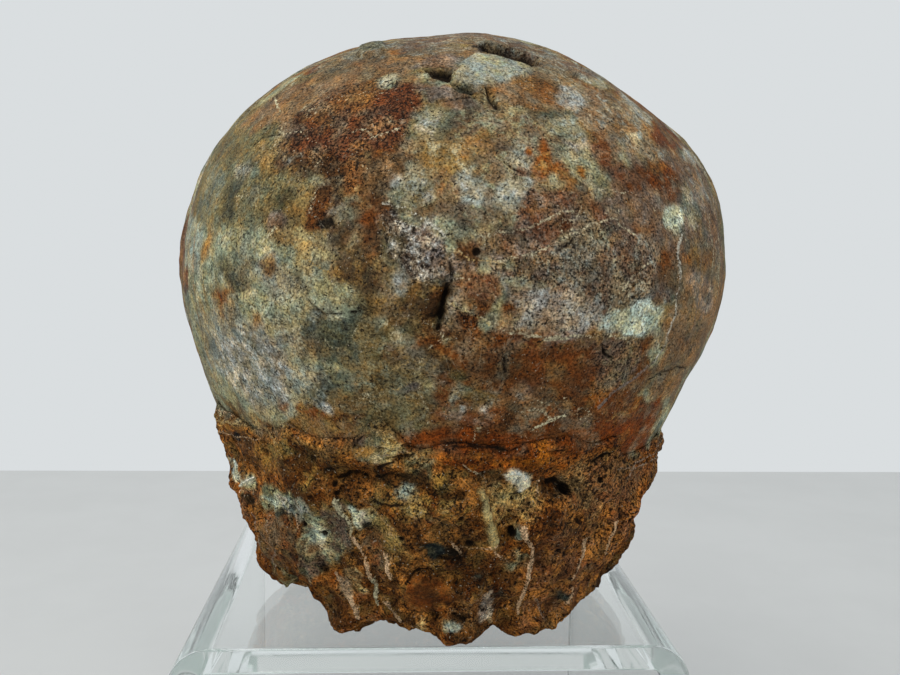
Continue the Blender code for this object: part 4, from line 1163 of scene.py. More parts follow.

# Stones, and hollows painted near-black as shade, that stay clear of the mottling around them.
ROCK_STONES = (
    (MILK, MINT_PALE, 0.5, 0.5, ((498, 471), (512, 468), (527, 476), (530, 486), (520, 490), (506, 480)),
     0.0, 0.4),
    (STRAW, SAND, 0.3, 0.4, ((477, 489), (483, 488), (488, 504), (492, 520), (495, 542), (489, 544),
     (485, 524), (480, 504)), 0.0, 0.0),
    (SOOT, SLATE, 0.4, 0.5, ((421, 548), (430, 543), (443, 546), (450, 551), (446, 556), (436, 560),
     (424, 558)), 0.1, 0.2),
    # Hollows painted dark as shade.
    (HOLLOW_SHADE, PEAT, 0.3, 0.5, ((446, 551), (460, 551), (468, 556), (456, 558), (446, 556))),
    (HOLLOW_SHADE, PEAT, 0.3, 0.7, ((540, 482), (552, 479), (562, 484), (570, 490), (566, 494), (552, 489))),
    (BLUE_GREY, LICHEN, 0.4, 0.4, oval(519, 531, 4, 4), 0.0),
    (MINT, MINT_PALE, 0.45, 0.9, oval(316, 538, 10, 11, 10), 0.2, 0.4),
    (MINT, BONE, 0.45, 0.8, ((257, 494), (280, 497), (298, 500), (304, 510), (290, 512), (270, 504))),
    (LICHEN, BONE, 0.4, 0.8, ((284, 508), (298, 506), (302, 522), (296, 528))),
    (MINT, BONE, 0.4, 0.7, ((350, 512), (364, 518), (370, 528), (360, 530), (352, 524))),
    # Small dark spots whose flecks are painted shade.
    (SLATE, HOLLOW_SHADE, 0.4, 0.6, oval(367, 529, 4, 3)),
    (SLATE, HOLLOW_SHADE, 0.4, 0.6, oval(282, 512, 4, 4)),
    (LICHEN, OCHRE, 0.4, 1.4, ((405, 496), (409, 490), (416, 489), (417, 496), (412, 500))),
    (MINT_PALE, LICHEN, 0.4, 0.6, ((231, 459), (237, 463), (242, 474), (238, 480), (233, 470))),
    (LICHEN, BONE, 0.4, 0.5, oval(247, 483, 7, 7), 0.0),
    # A dark spot flecked with painted shade.
    (SLATE, HOLLOW_SHADE, 0.4, 0.6, ((556, 600), (561, 590), (567, 592), (564, 603))),
    (SLATE, EARTH_DARK, 0.4, 0.8, oval(497, 592, 8, 4, 20)),
    (SLATE, EARTH_DARK, 0.4, 0.8, oval(477, 576, 6, 4)),
    (LICHEN, BONE, 0.4, 0.5, ((444, 624), (453, 617), (457, 622), (462, 625), (456, 630), (448, 629)), 0.3,
     0.3),
    (ROSE, BONE, 0.4, 0.8, ((484, 594), (490, 592), (492, 612), (484, 618))),
    (BUFF, CREAM, 0.35, 0.6, ((338, 576), (346, 580), (352, 594), (346, 598))),
    (HONEY, OCHRE, 0.35, 0.5, oval(364, 449, 8, 4, -10), 0.1),
    (MAUVE, ROSE, 0.4, 0.9, oval(360, 435, 9, 4)),
    # Pits and cracks painted dark as shade.
    (HOLLOW_SHADE, PEAT, 0.3, 0.5, oval(330, 469, 4, 3)),
    (HOLLOW_SHADE, PEAT, 0.3, 0.5, oval(236, 436, 3, 4)),
    (HOLLOW_SHADE, PEAT, 0.3, 0.4, ((490, 446), (504, 444), (512, 448), (500, 450))),
    (MAUVE, LODEN, 0.4, 1.0, ((298, 556), (322, 558), (328, 568), (318, 582), (304, 576))),
    (MAUVE, STONE, 0.4, 1.2, ((326, 514), (340, 508), (348, 522), (350, 546), (340, 556), (328, 548))),
)

ROCK_FORM_OUTLINES = (
    (1.6, 0.5, ((477, 490), (484, 488), (490, 512), (496, 540), (488, 544), (482, 520))),
    (0.9, 0.8, oval(432, 594, 25, 18, -4)),
    (-0.9, 0.8, ((400, 612), (420, 614), (446, 610), (458, 596), (462, 604), (446, 618), (418, 622))),
    (1.0, 0.8, ((498, 470), (512, 468), (528, 476), (530, 486), (518, 486), (504, 478))),
    (1.0, 1.0, oval(248, 484, 7, 7)),
    (0.9, 0.8, oval(516, 532, 5, 6)),
    (0.8, 1.0, oval(452, 624, 8, 6, 30)),
    (0.7, 1.0, ((404, 470), (420, 458), (470, 470), (530, 474), (556, 458), (600, 446), (604, 430),
     (404, 438))),
    (0.8, 1.0, ((390, 492), (430, 498), (480, 500), (476, 520), (430, 522), (388, 512))),
    (-1.0, 1.6, oval(558, 486, 16, 6, 10)),
    (-0.8, 1.6, oval(440, 552, 22, 8, 6)),
)

# Worn smooth: share of the roughness that is gone, and the outline.
ROCK_CALM = (
    (0.85, oval(432, 594, 25, 18, -4)),
    (0.6, ((477, 490), (484, 488), (490, 512), (496, 540), (488, 544), (482, 520))),
    (0.5, ((418, 546), (440, 542), (447, 555), (424, 560))),
)

ROCK_VEINS = (
    (0.5, 0.3, MILK, ((240, 492), (242, 486), (247, 480), (254, 477))),
    (0.4, 0.2, SAND, ((222, 400), (240, 412), (262, 426), (276, 444))),
    (0.4, 0.2, BUFF, ((226, 398), (250, 408), (280, 420), (312, 430))),
    (0.35, 0.2, SAND, ((230, 408), (254, 424), (274, 444), (284, 460))),
    (0.35, 0.2, BUFF, ((228, 404), (248, 422), (262, 440))),
    (1.1, 0.7, PALE, ((336, 500), (342, 512), (349, 522), (354, 533))),
    (0.95, 0.9, BUFF, ((354, 533), (360, 548), (368, 564), (374, 576))),
    (1.3, 0.8, PALE, ((373, 574), (377, 588), (378, 602))),
    (0.8, 0.7, BUFF, ((386, 553), (389, 566), (391, 578))),
    (0.9, 0.6, BUFF, ((386, 600), (394, 610), (402, 620))),
    (1.1, 0.8, BUFF, ((337, 574), (343, 588), (352, 602), (357, 618))),
    (0.5, 0.5, SAND, ((284, 506), (292, 522), (298, 545), (300, 560))),
    (0.5, 0.4, BUFF, ((294, 516), (298, 528), (300, 534))),
    (0.95, 0.9, BUFF, ((524, 526), (530, 544), (533, 556), (529, 571), (524, 590), (517, 612))),
    (0.85, 0.8, BUFF, ((586, 541), (583, 555), (576, 568), (571, 578))),
    (0.75, 0.7, BUFF, ((571, 587), (569, 596), (566, 602))),
    (0.75, 0.7, BUFF, ((614, 520), (611, 535), (604, 552))),
    (0.4, 0.3, ROSE, ((657, 419), (645, 441), (636, 460), (628, 479))),
    (0.4, 0.3, ROSE, ((640, 424), (628, 446), (618, 470))),
    (0.4, 0.3, BUFF, ((540, 480), (538, 488), (536, 494))),
    (0.5, 0.4, BUFF, ((452, 540), (458, 550), (464, 560))),
    (0.5, 0.4, BUFF, ((492, 548), (502, 558), (508, 562))),
    (0.4, 0.3, BUFF, ((458, 548), (480, 550), (496, 544))),
    (0.5, 0.4, ROSE, ((534, 596), (540, 610), (544, 618))),
    (0.5, 0.3, ROSE, ((252, 512), (262, 540), (276, 566))),
    (0.5, 0.3, ROSE, ((268, 520), (276, 548), (284, 570))),
    (0.4, 0.3, SAND, ((262, 508), (266, 520), (268, 530))),
    (0.5, 0.2, CREAM, ((464, 462), (474, 470), (484, 477))),
    (0.35, 0.2, ROSE, ((376, 446), (390, 452), (404, 446))),
    (0.35, 0.2, ROSE, ((380, 456), (394, 458), (406, 452))),
)

ROCK_CRACKS = (
    (0.75, 1.0, ((338, 477), (350, 474), (360, 474), (368, 477))),
    (0.4, 0.7, ((378, 477), (392, 477), (406, 479))),
    (0.3, 0.3, ((378, 448), (392, 454), (404, 450))),
    (0.3, 0.3, ((384, 460), (396, 460), (408, 455))),
    (0.7, 0.8, ((542, 482), (552, 480), (560, 485), (570, 491))),
    (0.35, 0.4, ((420, 446), (440, 444), (462, 447), (490, 445))),
    (0.3, 0.35, ((430, 438), (452, 440), (480, 439))),
    (0.35, 0.4, ((488, 447), (504, 450), (520, 448))),
    (0.3, 0.3, ((540, 446), (552, 452), (566, 449))),
    (0.5, 0.6, ((356, 441), (362, 437), (372, 436), (380, 440))),
    (0.6, 0.6, ((378, 470), (396, 462), (412, 454))),
    (0.5, 0.6, ((436, 558), (452, 561), (468, 560))),
    (0.5, 0.5, ((405, 584), (414, 574), (428, 570), (444, 572), (456, 580))),
    (0.6, 0.6, ((452, 616), (466, 620))),
    (0.6, 0.5, ((372, 500), (382, 506), (398, 504))),
    (0.8, 0.9, ((594, 462), (606, 456), (616, 452))),
    (0.25, 0.3, ((428, 424), (446, 428), (466, 426), (480, 430))),
    (0.25, 0.3, ((440, 436), (458, 438), (474, 436), (492, 440))),
    (0.2, 0.3, ((470, 418), (488, 420), (504, 418), (520, 422))),
    (0.25, 0.3, ((424, 462), (444, 460), (462, 464))),
)

ROCK_PITS = (
    (1.6, 1.8, (512, 532)), (1.3, 1.2, (551, 482)), (1.5, 1.4, (566, 489)), (1.0, 1.0, (232, 440)),
    (1.0, 1.0, (238, 452)), (1.0, 0.9, (303, 526)), (0.8, 0.8, (461, 520)), (1.1, 1.0, (322, 536)),
    (1.0, 0.9, (590, 566)), (0.9, 0.8, (402, 538)), (1.1, 1.1, (640, 500)), (1.0, 1.0, (600, 480)),
    (1.0, 1.0, (618, 474)), (0.9, 0.9, (628, 520)), (1.2, 1.2, (648, 460)), (0.9, 0.9, (336, 494)),
    (1.0, 1.0, (334, 484)), (0.8, 0.8, (586, 530)), (0.8, 0.8, (560, 552)), (1.0, 1.0, (470, 545)),
)

ROCK_TONES = (
    (UMBER, EARTH_LIGHT, 0.34, 22.0, 0.1, 141),
    (PEAT, EARTH_LIGHT, 0.28, 14.0, 0.25, 142),
    (BROWN, ORANGE, 0.3, 16.0, 0.35, 143),
    (LODEN, ASH, 0.4, 13.0, 0.62, 144),
    (RED_BROWN, ROSE, 0.36, 10.0, 0.55, 145),
    (RED_BROWN, PALE, 0.36, 7.0, 0.66, 146),
)

ROCK_MOTTLES = (
    (EARTH_DARK, 5.0, 0.15, 0.4, 151),
    (OCHRE, 4.0, 0.35, 0.25, 152),
    (MAUVE, 6.0, 0.4, 0.2, 153),
    (EARTH_LIGHT, 2.5, 0.3, 0.25, 154),
)

ROCK_LIFT = (1.4, 1.38, 1.14)          # factors on the rock's red, green and blue
ROCK_SEGMENTS = 620
UNDER_RINGS = 16
WALL_RINGS = 122
BOWL_RINGS = 12
MIDDLE_LEVEL = 0.012                   # level of the innermost ring of the underside
FOOT_LEVEL = 0.25                      # level of the lowest ring of the wall
BOWL_BOTTOM = -88.5                    # elevation in degrees, seen from the egg's centre
RIM_SEARCH = (0.80, 0.935, 60)         # levels between which the rim meets the egg, and how many are tried
RIM_TOUCH = 0.1                        # distance from the egg's surface that counts as meeting it
RIM_SMOOTHING = 7                      # steps on either side that the rim's level is averaged over
SMOOTHING_ROUNDS = 3
ROCK_GROUND = (EARTH, EARTH_LIGHT, 0.3, 0.6, 0.25)      # body, fleck, their share, pores, specks
PEBBLES = (3.4, 81)                    # size and seed
PEBBLE_EDGE = 0.45                     # in pebble sizes from the middle
PEBBLE_RISE = 0.55
PEBBLE_TONE = 0.35                     # pebbles with a lower tone are left out
PEBBLE_HOLES = (-0.9, 0.86)            # how deep, and above which tone a pebble is a hole instead
CRUMBS = (1.5, 91)
CRUMB_EDGE = 0.4
CRUMB_RISE = 0.42
CRUMB_HOLES = (-0.5, 0.85)
HOLE_EDGE = (0.42, 0.2)                # in grain sizes: where a hole ends, and over which it does
HOLE_FADE = 0.03
LEDGES = (0.3, ((9.0, 9.0, 2.2), 95, 2))    # rise, noise
BROAD_WAVES = (0.7, (5.0, 96, 3))
FLUTES = (0.75, (3.4, 98, 3))
FLUTE_STRETCH = 5.0                    # how many times taller than wide the flutes are
FLUTE_TOP = (48.0, 16.0)               # height where the flutes end, and over which they fade
FRINGE = ((0.9, (2.0, 99, 3)), (0.8, (4.5, 100, 2)))
FRINGE_RINGS = 5.0
CALM_EDGE = (0.8, 0.35)                # softness and raggedness
ROCK_SHADE = 0.9
CRUMB_TINT = 0.3
PEBBLE_TINT = 0.24
WALL_FOOT_RINGS = (2, 5.0)             # rings below the wall where relief starts, and over which it grows
WALL_TOP_RINGS = 6.0
BLEED_RINGS = 12.0                     # rings below the rim over which the egg's colours run out
BLEED_NOISE = (4.5, 97, 3)
NEAR_EGG = 76.0                        # the wall's points nearer than this are kept outside the egg


def rim_levels(azimuths):
    """The level at which each upright line of the rock's wall meets the egg."""
    levels = np.linspace(*RIM_SEARCH)
    grid = np.repeat(azimuths, len(levels))
    wall = rock_surface(grid, np.tile(levels, len(azimuths)))
    outward = upright(wall - EGG_CENTRE)
    distance = np.linalg.norm(outward, axis=1)
    surface = upright(egg_surface(outward / distance[:, None], GAP) - EGG_CENTRE)
    proud = (distance - np.linalg.norm(surface, axis=1)).reshape(len(azimuths), len(levels))
    meets = proud < RIM_TOUCH
    found = levels[np.where(np.any(meets, axis=1), np.argmax(meets, axis=1), len(levels) - 1)]
    kernel = np.hanning(2 * RIM_SMOOTHING + 1)
    padded = np.concatenate([found[-RIM_SMOOTHING:], found, found[:RIM_SMOOTHING]])
    return np.convolve(padded, kernel / kernel.sum(), mode="valid")


def rock_grid():
    """The rock as rings: across the underside, up the wall, and down the bowl that the egg sits in."""
    azimuths = np.linspace(-180.0, 180.0, ROCK_SEGMENTS, endpoint=False)
    tops = rim_levels(azimuths)
    rings = []
    for level in np.linspace(MIDDLE_LEVEL, FOOT_LEVEL, UNDER_RINGS, endpoint=False):
        rings.append(rock_surface(azimuths, np.full(ROCK_SEGMENTS, level)))
    for share in np.linspace(0.0, 1.0, WALL_RINGS):
        rings.append(rock_surface(azimuths, FOOT_LEVEL + (tops - FOOT_LEVEL) * share))
    outward = rings[-1] - EGG_CENTRE
    around = np.degrees(np.arctan2(outward[:, 0], -outward[:, 1]))
    elevation = np.degrees(np.arcsin(outward[:, 2] / np.linalg.norm(outward, axis=1)))
    for share in np.linspace(0.0, 1.0, BOWL_RINGS + 1)[1:]:
        lower = elevation + (BOWL_BOTTOM - elevation) * share
        rings.append(egg_surface(directions_at(around, lower), GAP * 0.5))
    return np.array(rings)


def grid_faces(ring_count, segments):
    """Faces between the rings, and a cap over the first and the last one."""
    faces = []
    for ring in range(ring_count - 1):
        here = ring * segments
        above = here + segments
        for step in range(segments):
            after = (step + 1) % segments
            faces.append((here + step, here + after, above + after, above + step))
    faces.append(tuple(reversed(range(segments))))
    faces.append(tuple(range((ring_count - 1) * segments, ring_count * segments)))
    return faces


def grid_normals(rings):
    """Outward directions of a grid of rings, once it is smoothed along each ring."""
    for _ in range(SMOOTHING_ROUNDS):
        rings = (np.roll(rings, 1, axis=1) + rings + np.roll(rings, -1, axis=1)) / 3.0
    around = np.roll(rings, -1, axis=1) - np.roll(rings, 1, axis=1)
    upward = np.gradient(rings, axis=0)
    normals = np.cross(around, upward)
    return normals / np.maximum(np.linalg.norm(normals, axis=2), 1e-9)[:, :, None]


def carry_skin(canvas, skin_points, skin, nearness):
    """Lets the egg's colours run a little way down over the rock's upper edge."""
    lower = np.flatnonzero(skin_points[:, 2] < EGG_CENTRE[2])
    tree = KDTree(len(lower))
    for index in lower:
        tree.insert(skin_points[index], index)
    tree.balance()
    patchy = soft_noise(canvas.points, *BLEED_NOISE)
    weight = smooth((nearness + 0.4 * patchy - 0.4) / 0.4)
    chosen = np.flatnonzero((weight > 0.0) & (nearness > 0.0))
    nearest = [tree.find(canvas.points[index])[1] for index in chosen]
    share = weight[chosen][:, None]
    canvas.body[chosen] += (skin.body[nearest] - canvas.body[chosen]) * share
    canvas.fleck[chosen] += (skin.fleck[nearest] - canvas.fleck[chosen]) * share


def holes_in(near, tone, rise, least_tone):
    """Small round holes at the grains whose tone is highest."""
    return rise * smooth((tone - least_tone) / HOLE_FADE) * smooth((HOLE_EDGE[0] - near) / HOLE_EDGE[1])


def roughen(canvas):
    """The rock's pebbles, crumbs, ledges and flutes. Returns the relief, and stores its shade and tints."""
    points = canvas.points
    near, tone = grains(points, *PEBBLES)
    small_near, small_tone = grains(points, *CRUMBS)
    pebbly = (PEBBLE_EDGE - near) * PEBBLE_RISE * (tone > PEBBLE_TONE)
    granular = (CRUMB_EDGE - small_near) * CRUMB_RISE
    holes = holes_in(near, tone, *PEBBLE_HOLES) + holes_in(small_near, small_tone, *CRUMB_HOLES)
    ledges = uneven(points, *LEDGES)
    broad = uneven(points, *BROAD_WAVES)
    angle = canvas.spots[:, 0] / ROCK_CHART_RADIUS
    height = canvas.spots[:, 1]
    around = np.stack([np.sin(angle) * ROCK_CHART_RADIUS, np.cos(angle) * ROCK_CHART_RADIUS,
                       height / FLUTE_STRETCH], axis=1)
    flutes = uneven(around, *FLUTES) * smooth((FLUTE_TOP[0] - height) / FLUTE_TOP[1])
    raised = pebbly * 0.7 + granular * 0.7 + holes * 1.2 + ledges * 0.4 + flutes * 0.9
    # Painted shade, darker where the relief dips.
    canvas.cavity = np.clip(-raised, 0.0, 1.0) * ROCK_SHADE
    tint = 1.0 + CRUMB_TINT * (small_tone - 0.5) + PEBBLE_TINT * (tone - 0.5)
    canvas.body *= tint[:, None]
    return pebbly + granular + holes + ledges * 0.5 + broad + flutes


def keep_outside_egg(moved, points, on_wall):
    """Puts what the relief has pushed into the egg back on its surface, a small gap away."""
    outward = upright(moved - EGG_CENTRE)
    directions = outward / np.linalg.norm(outward, axis=1)[:, None]
    close = np.flatnonzero(on_wall & (np.linalg.norm(points - EGG_CENTRE, axis=1) < NEAR_EGG))
    surface = egg_surface(directions[close], GAP * 0.5)
    reach = np.linalg.norm(surface - EGG_CENTRE, axis=1)
    inside = np.linalg.norm(moved[close] - EGG_CENTRE, axis=1) < reach
    moved[close[inside]] = surface[inside]


def build_rock(skin_points, skin):
    rings = rock_grid()
    ring_count, segments = rings.shape[:2]
    wall_end = UNDER_RINGS + WALL_RINGS
    normals = grid_normals(rings).reshape(-1, 3)
    points = rings.reshape(-1, 3)
    canvas = Canvas(points, rock_chart_points(points))
    everything = np.arange(len(points))
    canvas.blend(everything, np.ones(len(points)), *ROCK_GROUND)
    paint_tones(canvas, ROCK_TONES)
    faces = grid_faces(ring_count, segments)
    chart = Chart(tree_of(points, faces), rock_chart_points, ROCK_MIDDLE_PIXEL)
    paint_features(canvas, chart, ROCK_PATCHES, ROCK_FORM_OUTLINES, ROCK_VEINS, ROCK_CRACKS, ROCK_PITS)
    paint_mottles(canvas, ROCK_MOTTLES)
    canvas.body *= ROCK_LIFT
    canvas.fleck *= ROCK_LIFT
    ring = np.repeat(np.arange(ring_count), segments)
    carry_skin(canvas, skin_points, skin, (ring - wall_end + BLEED_RINGS) / BLEED_RINGS)
    paint_patches(canvas, chart, ROCK_STONES)
    relief = roughen(canvas)
    for share, outline in ROCK_CALM:
        chosen, weight = canvas.area(chart.line(outline), *CALM_EDGE)
        relief[chosen] *= 1.0 - weight * share
    on_wall = smooth((ring - UNDER_RINGS + WALL_FOOT_RINGS[0]) / WALL_FOOT_RINGS[1])
    on_wall *= smooth((wall_end - ring) / WALL_TOP_RINGS)
    moved = points + normals * ((relief + canvas.rise) * on_wall)[:, None]
    fringe = np.exp(-((ring - UNDER_RINGS - 1.0) / FRINGE_RINGS) ** 2)
    moved[:, 2] += sum(uneven(points, *kind) for kind in FRINGE) * fringe
    keep_outside_egg(moved, points, ring < wall_end)
    moved[:, 2] = np.maximum(moved[:, 2], np.minimum(STAND_SIZE[2] + GAP, points[:, 2]))
    material = stone_material("rock_stone", ROCK_LOOK)
    finish_piece("rock", moved, faces, canvas, material, "rock_matrix")


# ---- The stand ---------------------------------------------------------------------------------

def sheet_profile():
    """The bent sheet's closed outline, seen from the front."""
    half = STAND_SIZE[0] / 2.0
    outer = [(-half, 0.0)]
    inner = [(-half + SHEET, 0.0)]
    for side, first, last in ((-1, 180.0, 90.0), (1, 90.0, 0.0)):
        for step in range(BEND_STEPS + 1):
            angle = math.radians(first + (last - first) * step / BEND_STEPS)
            centre_x = side * (half - BEND_RADIUS)
            centre_z = STAND_SIZE[2] - BEND_RADIUS
            for radius, path in ((BEND_RADIUS, outer), (BEND_RADIUS - SHEET, inner)):
                path.append((centre_x + radius * math.cos(angle), centre_z + radius * math.sin(angle)))
    outer.append((half, 0.0))
    inner.append((half - SHEET, 0.0))
    return outer, inner


def build_stand():
    """The bent sheet, with its long edges rounded off."""
    outer, inner = sheet_profile()
    front = STAND_CENTRE[1] - STAND_SIZE[1] / 2.0
    sheet = bmesh.new()

    def row(path, y):
        return [sheet.verts.new(((STAND_CENTRE[0] + x) * MM, y * MM, z * MM)) for x, z in path]

    rows = [(row(outer, y), row(inner, y)) for y in (front, front + STAND_SIZE[1])]
    (outer_front, inner_front), (outer_back, inner_back) = rows
    for step in range(len(outer) - 1):
        after = step + 1
        sheet.faces.new((outer_front[step], outer_front[after], outer_back[after], outer_back[step]))
        sheet.faces.new((inner_front[after], inner_front[step], inner_back[step], inner_back[after]))
        sheet.faces.new((outer_front[after], outer_front[step], inner_front[step], inner_front[after]))
        sheet.faces.new((outer_back[step], outer_back[after], inner_back[after], inner_back[step]))
    for end in (0, -1):
        sheet.faces.new((outer_front[end], outer_back[end], inner_back[end], inner_front[end]))
    bmesh.ops.recalc_face_normals(sheet, faces=sheet.faces[:])
    sheet.normal_update()
    sharp = [edge for edge in sheet.edges if edge.calc_face_angle(0.0) > math.radians(SHARP_ANGLE)]
    bmesh.ops.bevel(sheet, geom=sharp, offset=EDGE_ROUND * MM, segments=EDGE_STEPS, affect="EDGES",
                    profile=0.5)
    mesh = bpy.data.meshes.new("clear_riser")
    sheet.to_mesh(mesh)
    sheet.free()
    for face in mesh.polygons:
        face.use_smooth = face.area < FLAT_FACE * MM * MM
    mesh.materials.append(acrylic_material())
    piece = add_object("clear_riser", mesh)
    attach(piece, "root")
    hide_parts("acrylic_stand")


# ---- Materials ---------------------------------------------------------------------------------

# The stones' looks. Sizes are in mm, the others are thresholds and strengths, among them those of the painted
# shade in hollows and along the dark lines.
EGG_LOOK = {
    "fleck_size": 3.0, "fleck_low": 0.6, "fleck_high": 0.84, "grain_size": 0.55, "grain": 0.5,
    "grain_gain": 0.9, "mottle": 0.34, "pore_size": 0.7, "pore_gain": 0.2, "bump": 0.45,
    "rough": (0.55, 0.78), "cavity": 0.6, "line_size": 11.0, "line_dark": 0.5, "line_pale": 0.3,
    "vein_low": 0.5,
}
ROCK_LOOK = {
    "fleck_size": 4.0, "fleck_low": 0.62, "fleck_high": 0.8, "grain_size": 0.5, "grain": 0.5,
    "grain_gain": 0.6, "mottle": 0.4, "pore_size": 0.9, "pore_gain": 0.14, "bump": 1.0,
    "rough": (0.66, 0.92), "cavity": 0.75, "line_size": 8.0, "line_dark": 0.75, "line_pale": 0.3,
    "vein_low": 0.6,
}
# Shared by both stones, with linear colours.
COOL_TINT = (0.88, 0.98, 1.12, 1.0)
WARM_TINT = (1.13, 0.99, 0.82, 1.0)
SPECK = (0.40, 0.35, 0.27, 1.0)
PALE_LINE = (0.36, 0.31, 0.23, 1.0)
DEEP_SHADE = (0.014, 0.009, 0.006, 1.0)
PORE = (0.012, 0.009, 0.007, 1.0)
# Near-black painted shade inside cracks and pits.
CRACK_SHADE = (0.010, 0.007, 0.005, 1.0)
STONE_SPECULAR = 0.06
BUMP_STRENGTH = 0.8
FLECK_DETAIL = (6.0, 0.72, 0.4)        # a noise's detail, roughness and distortion
GRAIN_DETAIL = (3.0, 0.75)
LINE_DETAIL = (5.0, 0.62, 0.8)
PORE_DETAIL = (2.0, 0.55)
BROAD_CLOUDS = (6.0, 6.0, 0.7, 0.5)    # the same after a size in mm
TINT_CLOUDS = (4.0, 6.0, 0.75)
LINE_CLOUDS = (9.0, 2.0)
SPECK_GRAINS = (0.6, 1.0)
LINE_RANGE = (0.002, 0.010)            # noise values from a line's middle to its edge
VEIN_EDGE = (0.47, 0.54)               # the stored distances over which a vein fades in; 0.5 is its edge
CRACK_EDGE = (0.47, 0.53)
EDGE_JITTER = 0.11
CONTRAST = 1.2                         # how much deeper the stones' dark colours are than painted
MIDDLE_TONE = 0.14                     # the tone that the deepening leaves alone
ACRYLIC_TINT = (0.97, 0.985, 0.98, 1.0)
ACRYLIC_BODY = (0.78, 0.90, 0.86, 1.0)
ACRYLIC_DENSITY = 1.6
ACRYLIC_IOR = 1.49
ACRYLIC_ROUGHNESS = (0.012, 0.05)
SCUFF_CLOUDS = (9.0, 3.0)
FLOOR_TONES = (0.58, 0.60)
FLOOR_GREEN = 1.01                     # green over red and blue
FLOOR_ROUGHNESS = 0.6
FLOOR_CLOUDS = (60.0, 3.0)


class Nodes:
    """Short ways to add nodes to a material."""

    def __init__(self, name):
        self.material = bpy.data.materials.new(name)
        self.material.use_nodes = True
        self.tree = self.material.node_tree
        self.shader = self.tree.nodes["Principled BSDF"]

    def add(self, kind, inputs=(), **settings):
        node = self.tree.nodes.new("ShaderNode" + kind)
        for name, value in settings.items():
            setattr(node, name, value)
        for key, value in dict(inputs).items():
            self.put(node.inputs[key], value)
        return node

    def put(self, socket, value):
        if isinstance(value, bpy.types.NodeSocket):
            self.tree.links.new(value, socket)
        else:
            socket.default_value = value

    def maths(self, operation, first, second=0.0, third=0.0):
        return self.add("Math", {0: first, 1: second, 2: third}, operation=operation).outputs[0]

    def noise(self, size, detail=2.0, roughness=0.6, distortion=0.0):
        place = self.add("TexCoord").outputs["Object"]
        return self.add("TexNoise", {"Vector": place, "Scale": 1.0 / (size * MM), "Detail": detail,
                                     "Roughness": roughness, "Distortion": distortion}).outputs["Fac"]

    def ramp(self, value, low, high, to_low=0.0, to_high=1.0, kind="SMOOTHSTEP"):
        return self.add("MapRange", {"Value": value, "From Min": low, "From Max": high, "To Min": to_low,
                                     "To Max": to_high}, interpolation_type=kind).outputs["Result"]

    def mix(self, share, first, second, kind="MIX"):
        node = self.add("Mix", data_type="RGBA", blend_type=kind)
        self.put(node.inputs[0], share)
        self.put(node.inputs[6], first)
        self.put(node.inputs[7], second)
        return node.outputs[2]

    def scaled(self, colour, factor):
        return self.add("VectorMath", {0: colour, "Scale": factor}, operation="SCALE").outputs[0]

    def painted(self, name):
        return self.add("Attribute", attribute_name=name).outputs["Color"]

    def split(self, colour):
        return self.add("SeparateColor", {"Color": colour}).outputs


